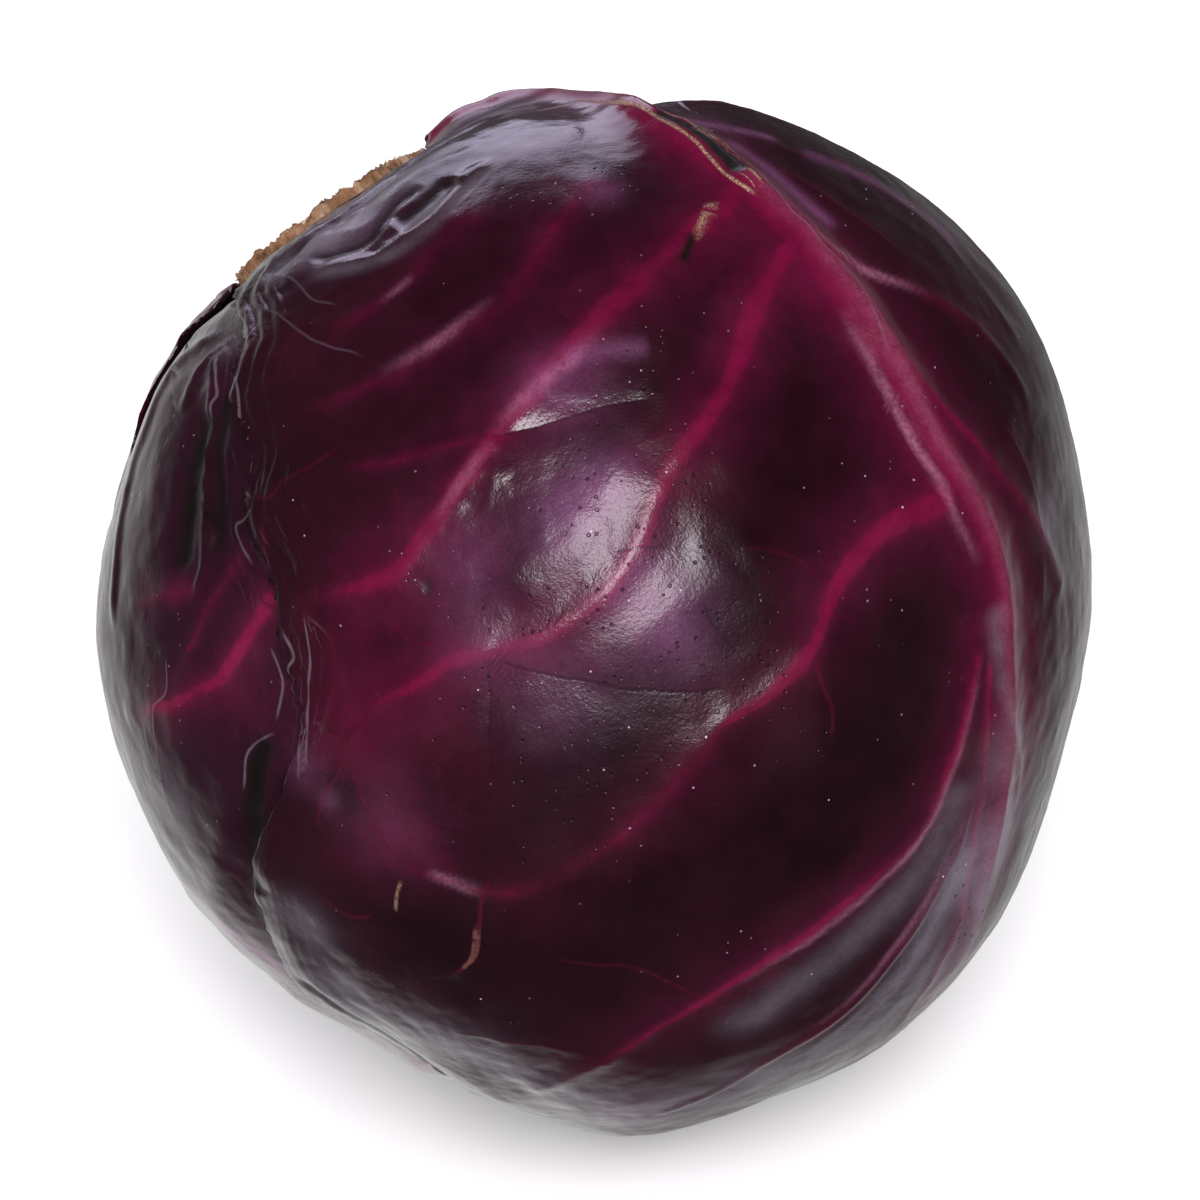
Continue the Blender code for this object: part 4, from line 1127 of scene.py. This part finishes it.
def leaf_material(name, dark, middle, light, sap, sap_too, level):
    """Living leaf blade under a film of wax: nearly black purple, crimson sap in the ribs, and a
    grainy, silvery bloom where the wax isn't rubbed off, which breaks the highlights up. Part of
    the bloom and frost, the rib crests and the pleats' threads are painted highlights, reflections
    and sheen, and the creases and black marks are partly painted shade."""
    values = {"IOR": 1.45, "Sheen Weight": 0.03, "Sheen Roughness": 0.45,
              "Sheen Tint": colour("#b9b4bd")}
    material, tree, shader = new_material(name, values)
    point = add(tree, "ShaderNodeTexCoord").outputs["Object"]
    times, plus, mixed, eased = (partial(made, tree) for made in (product, total, blend, span))
    lump = partial(lumps, tree, point)
    capped = partial(capped_product, tree)
    field = {key: add(tree, "ShaderNodeAttribute", attribute_name=key).outputs["Fac"] for key in FIELDS}
    broad = lump(24.0)
    patchy = lump(7.0, 5.0, 0.62)
    uneven = lump(8.0, 1.5, 0.45)
    medium = lump(2.4, 3.0)
    grain = lump(0.60, 2.0, 0.6)
    fine = lump(0.30, 2.0, 0.6)
    beside = add(tree, "ShaderNodeCombineXYZ", {0: field["across"], 1: times(field["along"], 0.07)})
    streak = lumps(tree, beside.outputs[0], 0.9, 4.0, 0.65)
    broad_streak = lumps(tree, beside.outputs[0], 4.0, 3.0, 0.6)
    grainy = capped(field["grain"], 1.0)
    nearest = math_node(tree, "ABSOLUTE", field["crease"])
    crease_shade = times(eased(nearest, 0.0, 0.0005, 1.0, 0.0), field["cut"])
    hair = times(eased(nearest, 0.00005, 0.0005, 1.0, 0.0), field["hair"])
    sheen_thread = times(eased(nearest, 0.00005, 0.00032, 1.0, 0.0), field["sheen_thread"])
    fibre = times(eased(nearest, 0.0001, 0.0004, 1.0, 0.0), field["fibre"])

    # Blade, from nearly black to mid purple, lighter and redder beside the ribs, and lighter and
    # darker by the tone patches, which are partly painted shade
    shade = plus(times(broad, 0.55), times(patchy, 0.45), times(fine, 0.16), times(grain, 0.10),
                 times(field["tone_and_shade"], 0.24), times(field["glow"], 0.34), level, -0.06)
    tint = ramp(tree, shade, ((0.0, colour(dark)), (0.45, colour(middle)), (1.0, colour(light))))
    glow = times(field["glow"], plus(patchy, 0.1))
    tint = mixed(capped(glow, 0.75), tint, colour("#52082b"))

    # Ribs, crimson with sap, and a painted highlight along the crest
    ragged = plus(field["vein"], times(medium, 0.30), times(grain, 0.24), -0.27)
    core = times(eased(ragged, 0.28, 0.62), 0.45)
    soft = times(field["vein"], plus(patchy, 0.1))
    flow = math_node(tree, "ADD", soft, core, True)
    tint = mixed(flow, tint, mixed(medium, colour(sap), colour(sap_too)))
    crest_highlight = capped(field["rib_highlight"], plus(medium, times(grain, 1.2), -0.3))
    tint = mixed(times(crest_highlight, 0.7), tint, colour("#a86c88"))

    # Bloom, a lavender wax broken into grains that also paints highlights and reflections, and
    # painted sheen where the leaf is pleated: pale threads and streaks along the pleats
    wax_and_highlight = capped(field["bloom_and_highlight"], times(plus(grain, patchy), 0.42))
    tint = mixed(wax_and_highlight, tint, colour("#8e5484"))
    # Frost, a grey film partly of wax and partly painted sheen where the edges reflect the white
    # surroundings
    frost_and_sheen = capped(field["frost_and_sheen"], plus(times(patchy, 0.9), times(grain, 0.4), -0.15))
    tint = mixed(frost_and_sheen, tint, colour("#75707c"))
    streak_sheen = times(eased(streak, 0.58, 0.74), field["pleated"], 0.30)
    pleat_sheen = math_node(tree, "ADD", streak_sheen, times(sheen_thread, plus(medium, 0.4)), True)
    tint = mixed(times(hair, plus(patchy, 0.3)), tint, colour(sap))
    tint = mixed(times(pleat_sheen, 0.65), tint, colour("#6c5f6a"))

    # Pits in the wax, and specks of dust on it, in clusters
    pitted = times(eased(grainy, 0.3, 0.8), eased(lump(5.0, 2.0), 0.44, 0.54))
    pit = times(dots(tree, point, 1.1, 0.28, 0.40), pitted)
    tint = mixed(times(pit, 0.75), tint, colour("#1a070f"))
    cluster = plus(eased(lump(16.0, 2.0), 0.52, 0.66), times(grainy, 0.8))
    speck = times(dots(tree, point, 1.7, 0.17, 0.16), cluster)
    tint = mixed(capped(speck, 0.65), tint, colour("#c9b4c8"))

    # Dried places: tan scars and the nearly black withered margin; and painted shade, near black
    # in the hollows and in the gaps between leaves
    tan = capped(plus(field["dry"], fibre), plus(medium, 0.5))
    tint = mixed(tan, tint, mixed(eased(fine, 0.35, 0.65), colour("#4a2c1e"), colour("#b48a70")))
    # Painted shade: a thin dark line along each crease
    tint = mixed(times(crease_shade, 0.45), tint, colour("#19060f"))
    withered_and_shaded = capped(field["withered_and_shade"], plus(patchy, 0.55))
    tint = mixed(withered_and_shaded, tint, colour("#120a09"))
    tree.links.new(tint, shader.inputs["Base Color"])

    dull = plus(times(patchy, 0.18), times(grainy, 0.15), times(tan, 0.4), times(withered_and_shaded, 0.2),
                times(field["matt"], 0.5), times(frost_and_sheen, 0.25),
                times(broad_streak, field["pleated"], 0.2), 0.07)
    tree.links.new(math_node(tree, "MINIMUM", dull, 0.9), shader.inputs["Roughness"])

    # Relief in millimetres
    wear = plus(times(grainy, 0.9), 0.18)
    height = plus(times(grain, wear, 0.045), times(fine, wear, 0.012),
                  times(uneven, eased(field["frost_and_sheen"], 0.1, 0.6, 0.20, 0.06)), times(patchy, 0.06),
                  times(medium, 0.05), times(crease_shade, -0.03), times(pit, -0.12),
                  times(streak, field["pleated"], 0.16), times(tan, fine, 0.2), times(hair, 0.05))
    bump = add(tree, "ShaderNodeBump", {"Height": height, "Strength": 1.0, "Distance": 0.001})
    tree.links.new(bump.outputs[0], shader.inputs["Normal"])
    return material


def stem_material():
    """Dried cut stem: woody fibre bundles, torn by the knife, tan outside and browner between."""
    material, tree, shader = new_material("dried_cut_stem_fibre", {"Roughness": 0.85})
    place_in_space = add(tree, "ShaderNodeTexCoord").outputs["Object"]
    noise_inputs = {"Vector": place_in_space, "Scale": per_metre(3.0), "Detail": 5.0}
    coarse = add(tree, "ShaderNodeTexNoise", noise_inputs).outputs["Fac"]
    cells = add(tree, "ShaderNodeTexVoronoi", {"Vector": place_in_space, "Scale": per_metre(0.7)})
    strands = cells.outputs["Distance"]
    stops = ((0.3, colour("#4e3424")), (0.5, colour("#a67c58")), (0.7, colour("#dcc6ac")))
    tint = ramp(tree, coarse, stops)
    tint = blend(tree, math_node(tree, "MULTIPLY", strands, 0.35, True), tint, colour("#5a3318"))
    out = add(tree, "ShaderNodeAttribute", attribute_name="out").outputs["Fac"]
    ring = product(tree, span(tree, out, 0.35, 0.62), span(tree, out, 0.70, 0.80, 1.0, 0.0))
    tint = blend(tree, product(tree, ring, 0.45), tint, colour("#d9c6a6"))
    tint = blend(tree, product(tree, span(tree, out, 0.86, 1.0), 0.4), tint, colour("#6b452c"))
    tree.links.new(tint, shader.inputs["Base Color"])
    height = math_node(tree, "ADD", coarse, math_node(tree, "MULTIPLY", strands, 0.6))
    bump = add(tree, "ShaderNodeBump", {"Height": height, "Strength": 0.8, "Distance": 0.0005})
    tree.links.new(bump.outputs[0], shader.inputs["Normal"])
    return material


def floor_material():
    """Matt white paper sweep under the head."""
    values = {"Base Color": colour("#f4f4f4"), "Emission Color": colour("#ffffff"),
              "Emission Strength": FLOOR_GLOW, "Roughness": 0.9}
    return new_material("white_paper_floor", values)[0]


def make_floor():
    """A plain pale floor."""
    mesh = bmesh.new()
    bmesh.ops.create_grid(mesh, x_segments=1, y_segments=1, size=FLOOR_HALF_WIDTH)
    floor = add_object("floor", mesh_data("floor", mesh, floor_material()))
    floor.visible_glossy = False


def front_point(x, y, z):
    """A world point from the front frame."""
    return Vector(to_world(np.array([[x, y, z]]))[0])


def make_camera():
    """Looks at the head's centre from the photograph's angle, with its framing."""
    data = bpy.data.cameras.new("camera")
    data.sensor_width = SENSOR
    data.lens = SENSOR * CAMERA_DISTANCE / (PHOTO_SIZE * METRES_PER_PIXEL)
    data.shift_x = (PHOTO_SIZE / 2.0 - PHOTO_CENTRE[0]) / PHOTO_SIZE
    data.shift_y = (PHOTO_CENTRE[1] - PHOTO_SIZE / 2.0) / PHOTO_SIZE
    camera = add_object("camera", data)
    aim(camera, front_point(0.0, -CAMERA_DISTANCE, 0.0), front_point(0.0, 0.0, 0.0))
    bpy.context.scene.camera = camera


def aim(thing, where, target):
    """Puts a camera or a light at a point, looking at another."""
    thing.location = where
    thing.rotation_euler = (target - where).to_track_quat("-Z", "Y").to_euler()


def make_light(name, where, width, height, radiance, tint):
    """A soft panel that faces the head, given the brightness and the colour of its face."""
    data = bpy.data.lights.new(name, "AREA")
    data.shape = "RECTANGLE"
    data.size = width
    data.size_y = height
    data.energy = math.pi * width * height * radiance
    data.color = colour(tint)[:3]
    lamp = add_object(name, data)
    aim(lamp, front_point(*where), front_point(0.0, 0.0, 0.0))


def towards(tree, look, axis):
    """How far a direction of view points along an axis of the front frame, -1 to 1."""
    world_axis = tuple(front_point(*axis) - front_point(0.0, 0.0, 0.0))
    made = add(tree, "ShaderNodeVectorMath", {0: look, 1: world_axis}, operation="DOT_PRODUCT")
    return made.outputs["Value"]


def make_world():
    """White surroundings to the eye. The head reflects them dark on the viewer's side and pale
    behind, most on the left and least at the top."""
    world = bpy.data.worlds.new("studio")
    world.use_nodes = True
    tree = world.node_tree
    shade = tree.nodes["Background"]
    look = add(tree, "ShaderNodeTexCoord").outputs["Generated"]
    depth = towards(tree, look, (0.0, 1.0, 0.0))
    behind = span(tree, depth, 0.45, 0.97, ROOM_FRONT, ROOM_BACK)
    beside = math_node(tree, "SQRT", math_node(tree, "SUBTRACT", 1.0, product(tree, depth, depth)))
    side = {}
    for name, axis in ROOM_SIDES.items():
        side[name] = math_node(tree, "DIVIDE", towards(tree, look, axis), beside)
    top = span(tree, side["up"], 0.70, 0.97, 1.0, 0.1)
    upper_right = span(tree, side["up_right"], 0.70, 0.95, 1.0, 0.3)
    left = span(tree, side["left"], 0.5, 1.0, 1.0, 1.5)
    low_left = product(tree, span(tree, side["low_left"], 0.80, 0.98),
                       span(tree, depth, 0.45, 0.75, 0.0, 0.8), span(tree, depth, 0.85, 0.99, 1.0, 0.3))
    room = total(tree, product(tree, behind, top, upper_right, left), low_left)
    path = add(tree, "ShaderNodeLightPath")
    soft = add(tree, "ShaderNodeMix", {0: path.outputs["Is Glossy Ray"], 2: ROOM_LIGHT, 3: room}).outputs[0]
    level = add(tree, "ShaderNodeMix", {0: path.outputs["Is Camera Ray"], 2: soft, 3: 1.0}).outputs[0]
    tree.links.new(level, shade.inputs["Strength"])
    shade.inputs["Color"].default_value = colour("#ffffff")
    bpy.context.scene.world = world


def main():
    bpy.context.scene.view_settings.view_transform = "Standard"
    make_camera()
    make_world()
    for name, panel in LIGHTS.items():
        make_light(name, *panel)
    make_floor()
    finishes = {name: leaf_material(name, *look) for name, look in LEAF_FINISHES.items()}
    for leaf in LEAVES:
        make_leaf(leaf, finishes[leaf["finish"]])
    make_heart(finishes["waxed_inner_leaf"])
    make_stem(stem_material())


main()
